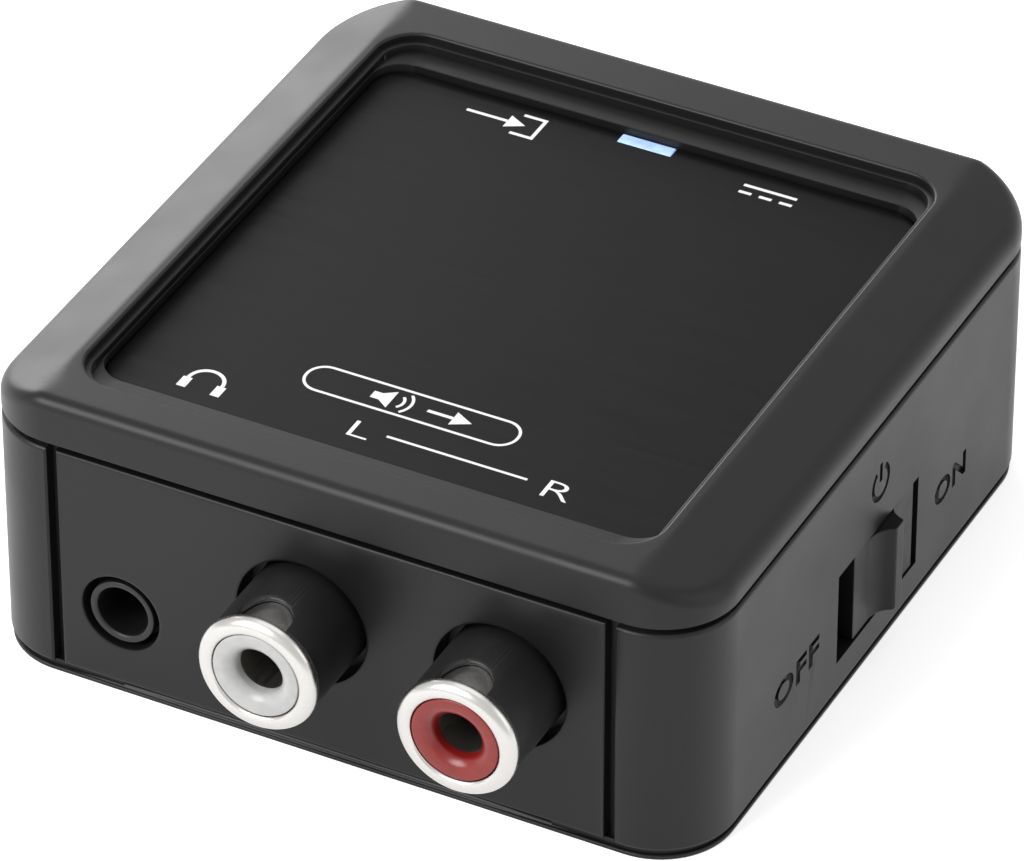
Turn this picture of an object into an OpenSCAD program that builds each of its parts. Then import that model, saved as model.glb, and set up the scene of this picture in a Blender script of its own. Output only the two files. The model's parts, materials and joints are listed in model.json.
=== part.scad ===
// Small audio converter box: a digital input and a power inlet at the back, a headphone
// jack and a pair of phono jacks in front, and a slide switch on the right side.
// Millimetres. X runs to the right, Y to the back and Z up, seen from the front.
// The origin is the centre of the base.

/* [Case] */
// Width of the case, left to right
case_w = 51; // [50:0.5:60]
// Depth of the case, front to back
case_d = 51; // [50:0.5:60]
// Height of the case
case_h = 21.5; // [20.5:0.5:26]
// Radius of the four upright corners
corner_r = 5.2; // [4.6:0.1:6]
// Thickness of the case walls
wall = 1.6; // [1.4:0.1:1.8]
// Thickness of the case floor
floor_t = 1.4; // [1.2:0.1:1.7]
// Height of the upper cover, from the seam to the top
cover_h = 3.4; // [3.2:0.1:4]
// Open seam between the cover and the case
seam_gap = 0.4; // [0.2:0.05:0.6]
// Width of the slope along each side of the cover
slope_w = 4.7; // [3.5:0.1:5]
// Height that the slope falls
slope_drop = 1.6; // [1.2:0.1:2]
// Rounding of the front and back top edges
edge_r = 0.65; // [0.4:0.05:0.9]

/* [Label recess] */
// Flat rim between the side slope and the recess
rim_side = 0.7; // [0.5:0.05:1.2]
// Rim between the front edge and the recess
rim_front = 3.15; // [2.9:0.05:3.6]
// Rim between the back edge and the recess
rim_back = 3.95; // [3.6:0.05:4.4]
// Corner radius of the recess
recess_r = 2.8; // [2.4:0.1:3.4]
// Depth of the first small step
step_depth = 0.55; // [0.4:0.05:0.7]
// Width of the first small step
step_in = 0.4; // [0.3:0.05:0.5]
// Depth of the shelf at the front and back of the label
shelf_depth = 1.1; // [0.9:0.05:1.3]
// Width of that shelf
shelf_w = 1.75; // [1.4:0.05:2]
// Depth of the label's face below the rim
label_depth = 1.7; // [1.5:0.05:1.8]
// Thickness of the label plate
label_t = 0.5; // [0.3:0.05:0.6]
// Corner radius of the label plate
label_r = 2.1; // [1.5:0.1:2.3]
// Width of the indicator window
lamp_w = 3.9; // [3:0.1:4.5]
// Depth of the indicator window, front to back
lamp_d = 1; // [0.8:0.05:1.4]

/* [End panels] */
// Left side of the case to the middle of the front panel's left groove
groove_left_in = 5.7; // [5.4:0.05:6.4]
// Right side of the case to the middle of the front panel's right groove
groove_right_in = 6.2; // [5.4:0.05:6.4]
// Width of the upright grooves beside a panel
groove_w = 0.7; // [0.4:0.05:0.9]
// Thickness of a panel's outer layer, which is the depth of its grooves
panel_face_t = 0.9; // [0.7:0.05:1]
// Thickness of a panel's inner layer, which slides in the case's slots
panel_tongue_t = 0.9; // [0.7:0.05:1]

/* [Base edge] */
// Height of the dark band round the foot of the walls
band_h = 0.8; // [0.6:0.05:1]
// Height of the rim that the box stands on
rim_h = 0.35; // [0.25:0.05:0.45]
// Depth of the band
band_in = 0.35; // [0.2:0.05:0.5]

/* [Circuit board] */
// Thickness of the board
board_t = 1.2; // [1:0.1:1.6]
// Space under the board for solder joints
board_lift = 1.3; // [1.2:0.1:1.6]
// Front or back of the case to the board's edge
board_end_in = 3.1; // [3:0.1:3.6]

/* [Phono jacks] */
// Right side of the case to the axis of the right jack
phono_right_in = 13.75; // [13.5:0.05:14.5]
// Distance between the two axes
phono_pitch = 13.85; // [13:0.05:14.3]
// Height of the axes above the board
phono_rise = 6.4; // [6:0.05:6.6]
// How far the jacks stand out of the front panel
phono_out = 6.15; // [5:0.05:7.5]
// Outside diameter of the plated lip
phono_lip_d = 8.3; // [8.2:0.05:8.4]
// Outside diameter of the black barrel
phono_barrel_d = 8.1; // [7.9:0.05:8.2]
// Diameter of the hole in the panel
phono_hole_d = 9.1; // [8.8:0.1:9.6]
// Diameter of the hole for the plug's pin
phono_bore_d = 3.24; // [3.2:0.01:3.3]

/* [Headphone jack] */
// Left side of the case to the jack's axis
phones_left_in = 10.4; // [10.3:0.1:12]
// Height of the axis above the board
phones_rise = 2.5; // [2.45:0.05:2.8]
// Outside diameter of the jack's nose
phones_nose_d = 4.6; // [4.5:0.1:4.8]
// Diameter of the bore for the plug
phones_bore_d = 3.6; // [3.55:0.01:3.7]
// Diameter of the hole in the panel
phones_hole_d = 5.5; // [5.3:0.1:6]

/* [Digital input] */
// Left side of the case to the middle of the socket
input_left_in = 15.6; // [15.2:0.1:15.8]
// Outside width of the socket's shell
input_w = 15; // [14.9:0.05:15.1]
// Outside height of the socket's shell
input_h = 5.95; // [5.8:0.05:6.1]
// Length of the socket
input_l = 11.3; // [10.5:0.1:12]

/* [Power inlet] */
// Right side of the case to the inlet's axis
inlet_right_in = 16.1; // [15.7:0.1:16.3]
// Height of the axis above the board
inlet_rise = 3; // [2.9:0.05:3.4]
// Diameter of the hole for the plug
inlet_bore_d = 3.7; // [3.6:0.05:3.9]
// Diameter of the centre pin
inlet_pin_d = 1.3; // [1.2:0.05:1.4]

/* [Power switch] */
// Middle of the switch's travel, front to back
switch_y = 0.25; // [-1:0.25:1]
// Distance that the switch slides
switch_travel = 2; // [1.5:0.1:2.2]
// Length of the cap's plate
cap_l = 8.8; // [8.4:0.1:9.4]
// Height of the cap's plate
cap_h = 6.66; // [6.4:0.02:6.8]
// Height of the window's lower edge above the base
window_z = 3.1; // [3:0.05:3.2]
// Gap between the cap and its window, above and below
cap_gap = 0.12; // [0.1:0.01:0.15]
// Gap left at each end of the travel
cap_end_gap = 0.55; // [0.3:0.05:0.7]
// How far the cap's plate lies below the case's side
cap_sink = 0.1; // [0.05:0.05:0.3]
// Height of the rib above the plate
rib_out = 1.1; // [0.9:0.05:1.4]
// Width of the rib's outer face
rib_w = 1; // [0.9:0.05:1.3]

/* [Hidden] */
$fn = 64;
over = 0.5;            // overrun of every cut
rest_gap = 0.05;       // clearance between fixed pieces
soft_gap = 0.1;        // clearance beside the panels and tongues

// Case levels and faces
half_w = case_w / 2;
half_d = case_d / 2;
cover_z = case_h - cover_h;
case_top = cover_z - seam_gap;
rim_in = 0.12;                         // foot rim, inside the walls' face
tongue_t = 0.7;                        // tongue on top of the case walls
tongue_h = 0.5;                        // tongue, above the cover's lower edge
tongue_out = wall - tongue_t;          // wall face to the tongue's face
rebate_in = tongue_out - soft_gap;     // wall face to the cover's rebate

// Label recess
recess_w = case_w - 2 * (slope_w + rim_side);
recess_d = case_d - rim_front - rim_back;
recess_y = (rim_front - rim_back) / 2;  // the recess sits a little forward of the middle
pocket_w = recess_w - 2 * step_in;
step_d = recess_d - 2 * step_in;
pocket_d = step_d - 2 * shelf_w;
adhesive_t = 0.1;
pocket_z = case_h - label_depth - label_t - adhesive_t;
label_gap = 0.1;
label_w = pocket_w - 2 * label_gap;
label_d = pocket_d - 2 * label_gap;
pocket_wall = 1.3;                     // plastic kept round the pocket, seen from below
core_h = 0.9;                          // depth of the cored channel round it

// Board levels
board_z = floor_t + board_lift;
board_top = board_z + board_t;
board_side_gap = 0.7;                  // board edge to the case wall
board_w = case_w - 2 * (wall + board_side_gap);
board_d = case_d - 2 * board_end_in;
tail_gap = 0.5;                        // soldered tails, above the floor
tail_z = floor_t + tail_gap;

// Corner bosses and their screws
boss_in = 5.1;                         // case side to a boss's axis
boss_r = 2.1;
boss_foot_r = 2.2;
boss_split = 1.3;                      // where two bosses meet, above the board's underside
boss_split_z = board_z + boss_split;
screw_r = 0.95;
screw_l = 7;
head_r = 1.8;
head_h = 1;
head_sink = 0.4;
seat_r = 2;
boss_x = half_w - boss_in;
boss_y = half_d - boss_in;
post_r = 1.9;
post_in = 5.2;                         // case side to a board post's axis
post_back = 12.9;                      // case end to a board post's axis
post_x = half_w - post_in;
post_y = half_d - post_back;
board_screw_l = 2.8;
cross_w = 0.45;
notch_gap = 0.2;

// Panels
slot_gap = 0.05;
tongue_side = 1.15;                    // reach of a panel's tongue behind the case wall
guide_t = 0.9;                         // inner rail behind the tongue
guide_side = 1;                        // rail, past the end of the tongue
panel_back = panel_face_t + panel_tongue_t + slot_gap;

// Phono jacks
phono_x = [half_w - phono_right_in - phono_pitch, half_w - phono_right_in];
phono_z = board_top + phono_rise;
phono_lip_r = phono_lip_d / 2;
phono_lip_l = 0.9;
phono_mouth_r = 3.05;
phono_sleeve_r = 3.5;
phono_block_r = 5.6;                   // half the housing's width round each axis
phono_head_gap = 3.15;                 // housing's top to the cover
phono_block_top = cover_z - phono_head_gap;
phono_block_l = 11.3;
phono_sink = 0.15;                     // insulator's face, below the lip
phono_cup_r = 2.35;
phono_cup_l = 0.7;
phono_contact_r = 2.05;
notch_w = 3.6;                         // arched notch in the barrel
notch_l = 2.45;
block_y = -half_d + panel_back + soft_gap;
block_back_y = block_y + phono_block_l;
phono_back_t = 2;                      // housing behind the sleeves
phono_sleeve_back = block_back_y - phono_back_t;
tail_r = 0.4;
tail_hole_r = 0.6;
phono_tail_out = 0.9;                  // contact's tail, behind the housing
phono_tail_y = block_back_y + phono_tail_out;
phono_tab_in = 5.5;                    // sleeve's tab, behind the housing's front
phono_tab_y = block_y + phono_tab_in;
phono_grip_in = 1.1;                   // contact, behind the insulator's face
phono_slit = 0.3;
phono_slit_l = 5;
tab_w = 1;
tab_t = 0.5;

// Headphone jack
phones_x = -half_w + phones_left_in;
phones_z = board_top + phones_rise;
phones_body_r = 2.9;
phones_body_l = 12;
phones_top = 2.5;
phones_nose_sink = 0.15;
phones_bore_l = 12.6;
finger_w = 1;
finger_t = 0.3;
foot_l = 1.2;
finger_y_shares = [0.16, 0.5, 0.84];
finger_y = [for (share = finger_y_shares) block_y + share * phones_body_l];

// Digital input
input_x = -half_w + input_left_in;
input_sink = 0.2;                      // mouth, inside the panel's face
input_mouth_y = half_d - input_sink;
input_back_y = input_mouth_y - input_l;
input_lift = 0.1;
input_z = board_top + input_lift;
input_wall = 0.3;
input_taper = 1.9;                     // side cut away at each lower corner
input_taper_h = 1.6;
blade_t = 1.1;
blade_w = 12.2;
blade_sink = 1;                        // blade's tip, inside the mouth
input_block_l = 3.6;
pin_pitch = 1;
pin_w = 0.26;
pin_t = 0.15;
pin_count = 19;
pin_slot = 0.04;
pin_sink = 0.5;                        // pins' tips, behind the blade's tip
blade_share = 0.56;                    // blade's height in the mouth
leg_w = 0.9;
leg_t = 0.3;
leg_hole_r = 0.55;
input_hole_gap = 0.25;
input_leg_y = [input_back_y + 2 * leg_w, input_back_y + 6 * leg_w];
blade_z = input_z + input_h * blade_share;

// Power inlet
inlet_x = half_w - inlet_right_in;
inlet_z = board_top + inlet_rise;
inlet_body_r = 3.1;
inlet_body_l = 8.4;
inlet_top = 3;
inlet_nose_r = 2.7;
inlet_hole_r = 3;
inlet_nose_sink = 0.15;
inlet_bore_l = 8;
inlet_pin_sink = 0.9;
inlet_front_y = half_d - panel_back - soft_gap;
inlet_back_y = inlet_front_y - inlet_body_l;
spring_t = 0.3;
spring_w = 1.4;
inlet_tail_out = 0.6;                  // pin's tail, behind the body
inlet_tail_y = inlet_back_y - inlet_tail_out;
inlet_spring_y = inlet_back_y + inlet_body_l / 2;

// Switch
window_l = cap_l + switch_travel + 2 * cap_end_gap;
window_h = cap_h + 2 * cap_gap;
switch_z = window_z + window_h / 2;
cap_y = switch_y + switch_travel / 2;  // the switch is drawn at ON, towards the back
cap_x = half_w - cap_sink;
flange_lap = 0.6;                      // flange, past the window at either limit
flange_over = switch_travel + cap_end_gap + flange_lap;
flange_over_z = 0.7;
flange_t = 0.85;
flange_gap = 0.3;                      // flange to the inside of the wall
flange_x = half_w - wall - flange_gap;
rib_offset = 0.1;                      // rib, behind the plate's middle
rib_flank = 0.6;
rib_end = 0.1;
flare_w = 1.4;
flare_h = 0.4;
post_w = 2;
post_gap = 0.05;
post_reach = 1.5;
frame_in = 4;                          // side of the case to the switch frame's face
frame_x = half_w - frame_in;
frame_depth = 3.4;
frame_l = 8.6;
frame_h = 5.2;
frame_t = 0.3;
frame_gap = 0.05;
slider_l = 4.2;
slider_h = 4;
slider_t = 1.75;
slider_gap = 0.4;
base_t = 0.8;
contact_t = 0.25;
contact_pitch = 2.5;
contact_w = 1.1;
bridge_t = 0.3;
flange_clear = 0.45;                   // flange to the board's notch
flange_end_gap = 0.6;
board_notch_x = flange_x - flange_t - flange_clear;
board_notch_l = cap_l + 2 * (flange_over + switch_travel / 2 + flange_end_gap);
frame_back_x = frame_x - frame_depth;
frame_leg_x = frame_back_x + frame_depth / 2;
terminal_x = frame_back_x - base_t - tail_r - rest_gap;
frame_z = switch_z - frame_h / 2;
slider_x = frame_x - frame_t - slider_gap / 2;

// Chips and small parts stand at shares of the board's width and depth
receiver_share = [-0.214, 0.05];
converter_share = [0.03, -0.03];
amplifier_share = [0.2, -0.06];
regulator_share = [0.24, 0.17];
crystal_share = [-0.4, -0.05];
inductor_share = [0.06, 0.226];
can_shares = [[-0.125, -0.2], [0.04, -0.2], [0.164, -0.2], [0.06, 0.1]];
cap_row_shares = [[-0.36, 0.17], [-0.36, 0.22], [-0.05, 0.11], [-0.05, 0.16], [-0.05, 0.21],
    [0.14, 0.04], [0.17, 0.04], [0.2, 0.04], [-0.02, -0.12], [0.1, -0.12], [-0.26, -0.105], [-0.23, -0.105]];
res_row_shares = [[-0.05, -0.06], [-0.05, -0.01], [-0.05, 0.04], [-0.17, -0.105],
    [-0.14, -0.105], [0.14, 0.08], [0.165, 0.08], [0.29, -0.14]];
part_lift = 0.05;                      // solder under a part
lead_tuck = 0.2;                       // part of a lead inside its body
lead_l = 0.9;
lead_t = 0.15;
receiver_size = [10, 10, 1.4];
receiver_pitch = 0.5;
receiver_lead_w = 0.22;
receiver_leads = 16;
converter_size = [6.5, 4.4, 1];
converter_pitch = 0.65;
converter_lead_w = 0.25;
converter_leads = 10;
amplifier_size = [4.9, 3.9, 1.5];
amplifier_pitch = 1.27;
amplifier_lead_w = 0.4;
amplifier_leads = 4;
regulator_size = [6.5, 3.5, 1.6];
regulator_lead = [0.7, 1.8, 0.25];
regulator_pitch = 2.3;
regulator_tab = [3, 1.7, 0.25];
crystal_can = [4.6, 11, 3.4];
crystal_base = [5, 11.4, 0.5];
can_r = 2.5;
can_h = 5.6;
can_base_h = 0.9;
can_groove_z = 1.6;                    // groove pressed into each can
can_groove_h = 0.4;
can_groove_in = 0.25;
inductor_size = [5, 5, 2.2];
inductor_base_h = 1.3;
small_cap = [0.8, 1.6, 0.8];
small_res = [0.8, 1.6, 0.5];
lamp_x = (input_x + inlet_x) / 2;
lamp_y = recess_y + pocket_d / 2 - lamp_d / 2 - rest_gap;
lamp_size = [1.6, 0.8, 0.6];
pipe_w = 1.6;
pipe_gap = 0.35;
pipe_flange = 0.5;
pipe_flange_t = 0.6;

// Rectangle with round corners, centred
module round_rect(w, d, r) {
    square([w - 2 * r, d], center = true);
    square([w, d - 2 * r], center = true);
    for (sx = [-1, 1], sy = [-1, 1])
        translate([sx * (w / 2 - r), sy * (d / 2 - r)]) circle(r = r);
}

// Upright slab of that outline, inset from the case's outline
module slab(inset, z0, z1) {
    translate([0, 0, z0]) linear_extrude(z1 - z0)
        round_rect(case_w - 2 * inset, case_d - 2 * inset, corner_r - inset);
}

module block(x, y, z) {
    translate([x[0], y[0], z[0]]) cube([x[1] - x[0], y[1] - y[0], z[1] - z[0]]);
}

// Cylinder along Y from y0 to y1
module rod_y(x, z, r, y0, y1) {
    translate([x, y0, z]) rotate([-90, 0, 0]) cylinder(r = r, h = y1 - y0);
}

module at_corners() {
    for (sx = [-1, 1], sy = [-1, 1]) translate([sx * boss_x, sy * boss_y, 0]) children();
}

// Everything at the back is drawn at the front and turned round when back is true
module at_end(back) {
    rotate([0, 0, back ? 180 : 0]) children();
}

// Left and right ends of a panel's face, seen from its own side
function face_x(back) = [
    -half_w + groove_w / 2 + (back ? groove_right_in : groove_left_in),
    half_w - groove_w / 2 - (back ? groove_left_in : groove_right_in)];
function slot_x(back) = [face_x(back)[0] - groove_w, face_x(back)[1] + groove_w];

// Outer solid of the upper cover: plan outline, side slopes and round end edges
module cover_solid() {
    intersection() {
        slab(0, cover_z, case_h);
        rotate([90, 0, 0]) translate([0, 0, -half_d - over]) linear_extrude(case_d + 2 * over)
            polygon([[-half_w, cover_z], [half_w, cover_z], [half_w, case_h - slope_drop],
                [half_w - slope_w, case_h], [-half_w + slope_w, case_h], [-half_w, case_h - slope_drop]]);
        rotate([90, 0, 90]) translate([0, 0, -half_w - over]) linear_extrude(case_w + 2 * over) {
            translate([-half_d, cover_z]) square([case_d, cover_h - edge_r]);
            translate([-half_d + edge_r, cover_z]) square([case_d - 2 * edge_r, cover_h]);
            for (sy = [-1, 1]) translate([sy * (half_d - edge_r), case_h - edge_r]) circle(r = edge_r);
        }
    }
}

module recess(w, d, r, z) {
    translate([0, recess_y, z]) linear_extrude(case_h - z + over) round_rect(w, d, r);
}

module upper_cover() {
    color("#2c2c2e") difference() {
        union() {
            difference() {
                cover_solid();
                recess(recess_w, recess_d, recess_r, case_h - step_depth);
                recess(pocket_w, step_d, recess_r - step_in, case_h - shelf_depth);
                recess(pocket_w, pocket_d, label_r + label_gap, pocket_z);
                difference() {
                    union() {
                        slab(rebate_in, cover_z - over, cover_z + tongue_h + slot_gap);
                        slab(wall, cover_z - over, cover_z + core_h);
                    }
                    translate([0, recess_y, cover_z - 2 * over]) linear_extrude(cover_h)
                        square([pocket_w + 2 * pocket_wall, pocket_d + 2 * pocket_wall], center = true);
                }
            }
            at_corners() translate([0, 0, boss_split_z])
                cylinder(r = boss_r, h = cover_z + core_h - boss_split_z);
        }
        at_corners() translate([0, 0, boss_split_z - over])
            cylinder(r = screw_r + rest_gap / 2, h = screw_l + 2 * over);
        lamp_opening();
    }
}

module lamp_opening() {
    translate([lamp_x, lamp_y, cover_z - over]) linear_extrude(cover_h + 2 * over)
        square([lamp_w + 2 * rest_gap, lamp_d + 2 * rest_gap], center = true);
}

module label_plate() {
    color("#2a2a2c") difference() {
        translate([0, recess_y, pocket_z + adhesive_t]) linear_extrude(label_t)
            round_rect(label_w, label_d, label_r);
        lamp_opening();
    }
}

module label_adhesive() {
    color("#c9c4b4") difference() {
        translate([0, recess_y, pocket_z]) linear_extrude(adhesive_t)
            round_rect(label_w - 2 * label_gap, label_d - 2 * label_gap, label_r - label_gap);
        lamp_opening();
    }
}

// Light pipe: the window in the label, a flange under the cover and a stem to the lamp
module lamp_window() {
    pipe_z = board_top + part_lift + lamp_size[2] + pipe_gap;
    color("#9cc4ff") union() {
        translate([lamp_x, lamp_y, cover_z - rest_gap])
            linear_extrude(case_h - label_depth - cover_z + rest_gap) square([lamp_w, lamp_d], center = true);
        translate([lamp_x, lamp_y, cover_z - rest_gap - pipe_flange_t]) linear_extrude(pipe_flange_t)
            square([lamp_w + 2 * pipe_flange, lamp_d + 2 * pipe_flange], center = true);
        translate([lamp_x, lamp_y, pipe_z]) linear_extrude(cover_z - pipe_z - pipe_flange_t)
            square([pipe_w, lamp_d], center = true);
    }
}

module panel_opening(back) {
    at_end(back) {
        block([slot_x(back)[0], slot_x(back)[1]], [-half_d - over, -half_d + panel_face_t + 2 * slot_gap],
            [band_h, case_top + tongue_h + 2 * over]);
        block([slot_x(back)[0] - tongue_side - soft_gap, slot_x(back)[1] + tongue_side + soft_gap],
            [-half_d + panel_face_t, -half_d + panel_back + slot_gap],
            [floor_t, case_top + tongue_h + 2 * over]);
        block([slot_x(back)[0] + guide_t, slot_x(back)[1] - guide_t],
            [-half_d + panel_face_t, -half_d + panel_back + guide_t + over],
            [floor_t, case_top + tongue_h + 2 * over]);
    }
}

module panel_guides(back) {
    at_end(back) for (side = [0, 1]) {
        a = slot_x(back)[side];
        b = a + (side == 0 ? -1 : 1) * (tongue_side + guide_side);
        block([min(a, b), max(a, b)], [-half_d + wall - rest_gap, -half_d + panel_back + guide_t],
            [floor_t - rest_gap, case_top]);
    }
}

module lower_case() {
    color("#2b2b2d") difference() {
        union() {
            difference() {
                union() {
                    slab(rim_in, 0, rim_h);
                    slab(band_in, rim_h, band_h);
                    slab(0, band_h, case_top);
                    slab(tongue_out, band_h, cover_z + tongue_h);
                }
                slab(wall, floor_t, case_h);
            }
            panel_guides(false);
            panel_guides(true);
            at_corners() cylinder(r = boss_foot_r, h = boss_split_z);
            board_posts() cylinder(r = post_r, h = board_z);
        }
        panel_opening(false);
        panel_opening(true);
        switch_window();
        at_corners() translate([0, 0, -over]) cylinder(r = screw_r + soft_gap, h = boss_split_z + 2 * over);
        at_corners() translate([0, 0, -over]) cylinder(r = seat_r, h = head_sink + head_h + over);
        screw_posts() translate([0, 0, board_top - board_screw_l])
            cylinder(r = screw_r + rest_gap / 2, h = board_screw_l);
    }
}

module board_posts() {
    for (sx = [-1, 1], sy = [-1, 1]) translate([sx * post_x, sy * post_y, 0]) children();
}

module screw_posts() {
    for (s = [-1, 1]) translate([s * post_x, -s * post_y, 0]) children();
}

module switch_window() {
    block([half_w - wall - over, half_w + over], [switch_y - window_l / 2, switch_y + window_l / 2],
        [window_z, window_z + window_h]);
}

// A panel's outer layer reaches down to the foot band, and its inner layer slides in the slots
module panel(back) {
    at_end(back) {
        block(face_x(back), [-half_d, -half_d + panel_face_t + slot_gap], [band_h + slot_gap, case_top]);
        block([slot_x(back)[0] - tongue_side, slot_x(back)[1] + tongue_side],
            [-half_d + panel_face_t + slot_gap, -half_d + panel_back],
            [floor_t + slot_gap, cover_z + tongue_h]);
    }
}

module front_panel() {
    color("#2d2d2f") difference() {
        panel(false);
        for (x = phono_x)
            rod_y(x, phono_z, phono_hole_d / 2, -half_d - over, -half_d + panel_back + over);
        rod_y(phones_x, phones_z, phones_hole_d / 2, -half_d - over, -half_d + panel_back + over);
    }
}

module rear_panel() {
    color("#2d2d2f") difference() {
        panel(true);
        block([input_x - input_w / 2 - input_hole_gap, input_x + input_w / 2 + input_hole_gap],
            [half_d - panel_back - over, half_d + over],
            [input_z - input_hole_gap, input_z + input_h + input_hole_gap]);
        rod_y(inlet_x, inlet_z, inlet_hole_r, half_d - panel_back - over, half_d + over);
    }
}

// Holes in the board for every soldered tail
module board_holes() {
    for (x = phono_x) {
        translate([x, phono_tail_y, 0]) cylinder(r = tail_hole_r, h = case_h);
        translate([x, phono_tab_y, 0]) cylinder(r = tail_hole_r + soft_gap, h = case_h);
    }
    for (i = [-1, 0, 1])
        translate([terminal_x, switch_y + i * contact_pitch, 0]) cylinder(r = tail_hole_r, h = case_h);
    for (s = [-1, 1]) {
        translate([frame_leg_x, switch_y + s * (frame_l / 2 - frame_t / 2), 0])
            cylinder(r = tail_hole_r, h = case_h);
        for (y = input_leg_y)
            translate([input_x + s * (input_w / 2 - leg_t / 2), y, 0]) cylinder(r = leg_hole_r, h = case_h);
    }
    translate([inlet_x, inlet_tail_y, 0]) cylinder(r = tail_hole_r + soft_gap, h = case_h);
    translate([inlet_x, inlet_spring_y, 0]) cylinder(r = tail_hole_r + 2 * soft_gap, h = case_h);
}

module circuit_board() {
    notch_x = boss_x - boss_foot_r - notch_gap;
    notch_y = boss_y - boss_foot_r - notch_gap;
    color("#1f6b43") difference() {
        block([-board_w / 2, board_w / 2], [-board_d / 2, board_d / 2], [board_z, board_top]);
        for (sx = [-1, 1], sy = [-1, 1])
            translate([sx * (notch_x + board_w / 2), sy * (notch_y + board_d / 2), board_z + board_t / 2])
                cube([board_w, board_d, 3 * board_t], center = true);
        block([board_notch_x, half_w], [switch_y - board_notch_l / 2, switch_y + board_notch_l / 2],
            [board_z - over, board_top + over]);
        board_holes();
        screw_posts() cylinder(r = screw_r + soft_gap, h = case_h);
    }
}

// Twin phono housing: one block behind the panel and two barrels through it
module phono_housing() {
    barrel_y = -half_d - phono_out + phono_lip_l;
    sleeve_bore = phono_sleeve_r + rest_gap;
    color("#1b1b1c") difference() {
        union() {
            block([phono_x[0] - phono_block_r, phono_x[1] + phono_block_r], [block_y, block_back_y],
                [board_top, phono_block_top]);
            for (x = phono_x) rod_y(x, phono_z, phono_barrel_d / 2, barrel_y, block_y + over);
        }
        for (x = phono_x) {
            rod_y(x, phono_z, sleeve_bore, barrel_y - over, phono_sleeve_back + rest_gap);
            rod_y(x, phono_z, phono_contact_r, phono_sleeve_back - over, block_back_y + over);
            block([x - notch_w / 2, x + notch_w / 2], [barrel_y - over, barrel_y + notch_l - notch_w / 2],
                [phono_z, phono_z + phono_barrel_d]);
            translate([x, barrel_y + notch_l - notch_w / 2, phono_z])
                cylinder(r = notch_w / 2, h = phono_barrel_d / 2 + over);
            block([x - tab_w / 2 - soft_gap, x + tab_w / 2 + soft_gap],
                [phono_tab_y - tab_t / 2 - soft_gap, phono_tab_y + tab_t / 2 + soft_gap],
                [board_top - over, phono_z]);
        }
    }
}

// Plated sleeve with its rolled lip and its earth tab
module phono_shell(x) {
    lip_y = -half_d - phono_out;
    lip_round = (phono_lip_r - phono_mouth_r) / 2;
    tab_top = phono_z - phono_mouth_r - (phono_sleeve_r - phono_mouth_r) / 2;
    color("#d8d6d0") union() {
        difference() {
            union() {
                rod_y(x, phono_z, phono_sleeve_r, lip_y + lip_round, phono_sleeve_back);
                rod_y(x, phono_z, phono_lip_r, lip_y + lip_round, lip_y + phono_lip_l - rest_gap);
                translate([x, lip_y + lip_round, phono_z]) rotate([90, 0, 0]) rotate_extrude()
                    translate([phono_mouth_r + lip_round, 0]) intersection() {
                        circle(r = lip_round);
                        translate([-lip_round, 0]) square([2 * lip_round, lip_round]);
                    }
            }
            rod_y(x, phono_z, phono_mouth_r, lip_y + lip_round, phono_sleeve_back + over);
        }
        block([x - tab_w / 2, x + tab_w / 2], [phono_tab_y - tab_t / 2, phono_tab_y + tab_t / 2],
            [tail_z, tab_top]);
    }
}

// Coloured insulator, dished at its mouth
module phono_insulator(x, tint) {
    face_y = -half_d - phono_out + phono_sink;
    bore_r = phono_bore_d / 2;
    color(tint) difference() {
        rod_y(x, phono_z, phono_mouth_r - rest_gap, face_y, phono_sleeve_back);
        rod_y(x, phono_z, bore_r, face_y - over, phono_sleeve_back + over);
        translate([x, face_y, phono_z]) rotate([-90, 0, 0])
            cylinder(r1 = phono_cup_r, r2 = bore_r, h = phono_cup_l);
        rod_y(x, phono_z, phono_contact_r + rest_gap, face_y + phono_grip_in, phono_sleeve_back + over);
    }
}

// Split tube that grips the plug's pin, with a tail down to the board
module phono_contact(x) {
    front_y = -half_d - phono_out + phono_sink + phono_grip_in + rest_gap;
    color("#c9a44c") union() {
        difference() {
            rod_y(x, phono_z, phono_contact_r, front_y, phono_sleeve_back);
            rod_y(x, phono_z, phono_bore_d / 2, front_y - over, phono_sleeve_back - 2 * tail_r);
            block([x - phono_slit / 2, x + phono_slit / 2], [front_y - over, front_y + phono_slit_l],
                [phono_z, phono_z + phono_lip_r]);
        }
        rod_y(x, phono_z, tail_r, phono_sleeve_back - tail_r, phono_tail_y);
        translate([x, phono_tail_y, tail_z]) cylinder(r = tail_r, h = phono_z - tail_z + tail_r);
    }
}

// Headphone jack: a block on the board with a round nose in the panel
module phones_jack_body() {
    back_y = block_y + phones_body_l;
    color("#1b1b1c") difference() {
        union() {
            block([phones_x - phones_body_r, phones_x + phones_body_r], [block_y, back_y],
                [board_top, phones_z + phones_top]);
            rod_y(phones_x, phones_z, phones_nose_d / 2, -half_d + phones_nose_sink, block_y + over);
        }
        rod_y(phones_x, phones_z, phones_bore_d / 2, -half_d - over, -half_d + phones_bore_l);
        for (y = finger_y)
            block([phones_x + phones_bore_d / 2 - finger_t, phones_x + phones_body_r + over],
                [y - finger_w / 2 - rest_gap, y + finger_w / 2 + rest_gap],
                [phones_z - finger_t / 2 - rest_gap, phones_z + finger_t / 2 + rest_gap]);
    }
}

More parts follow.
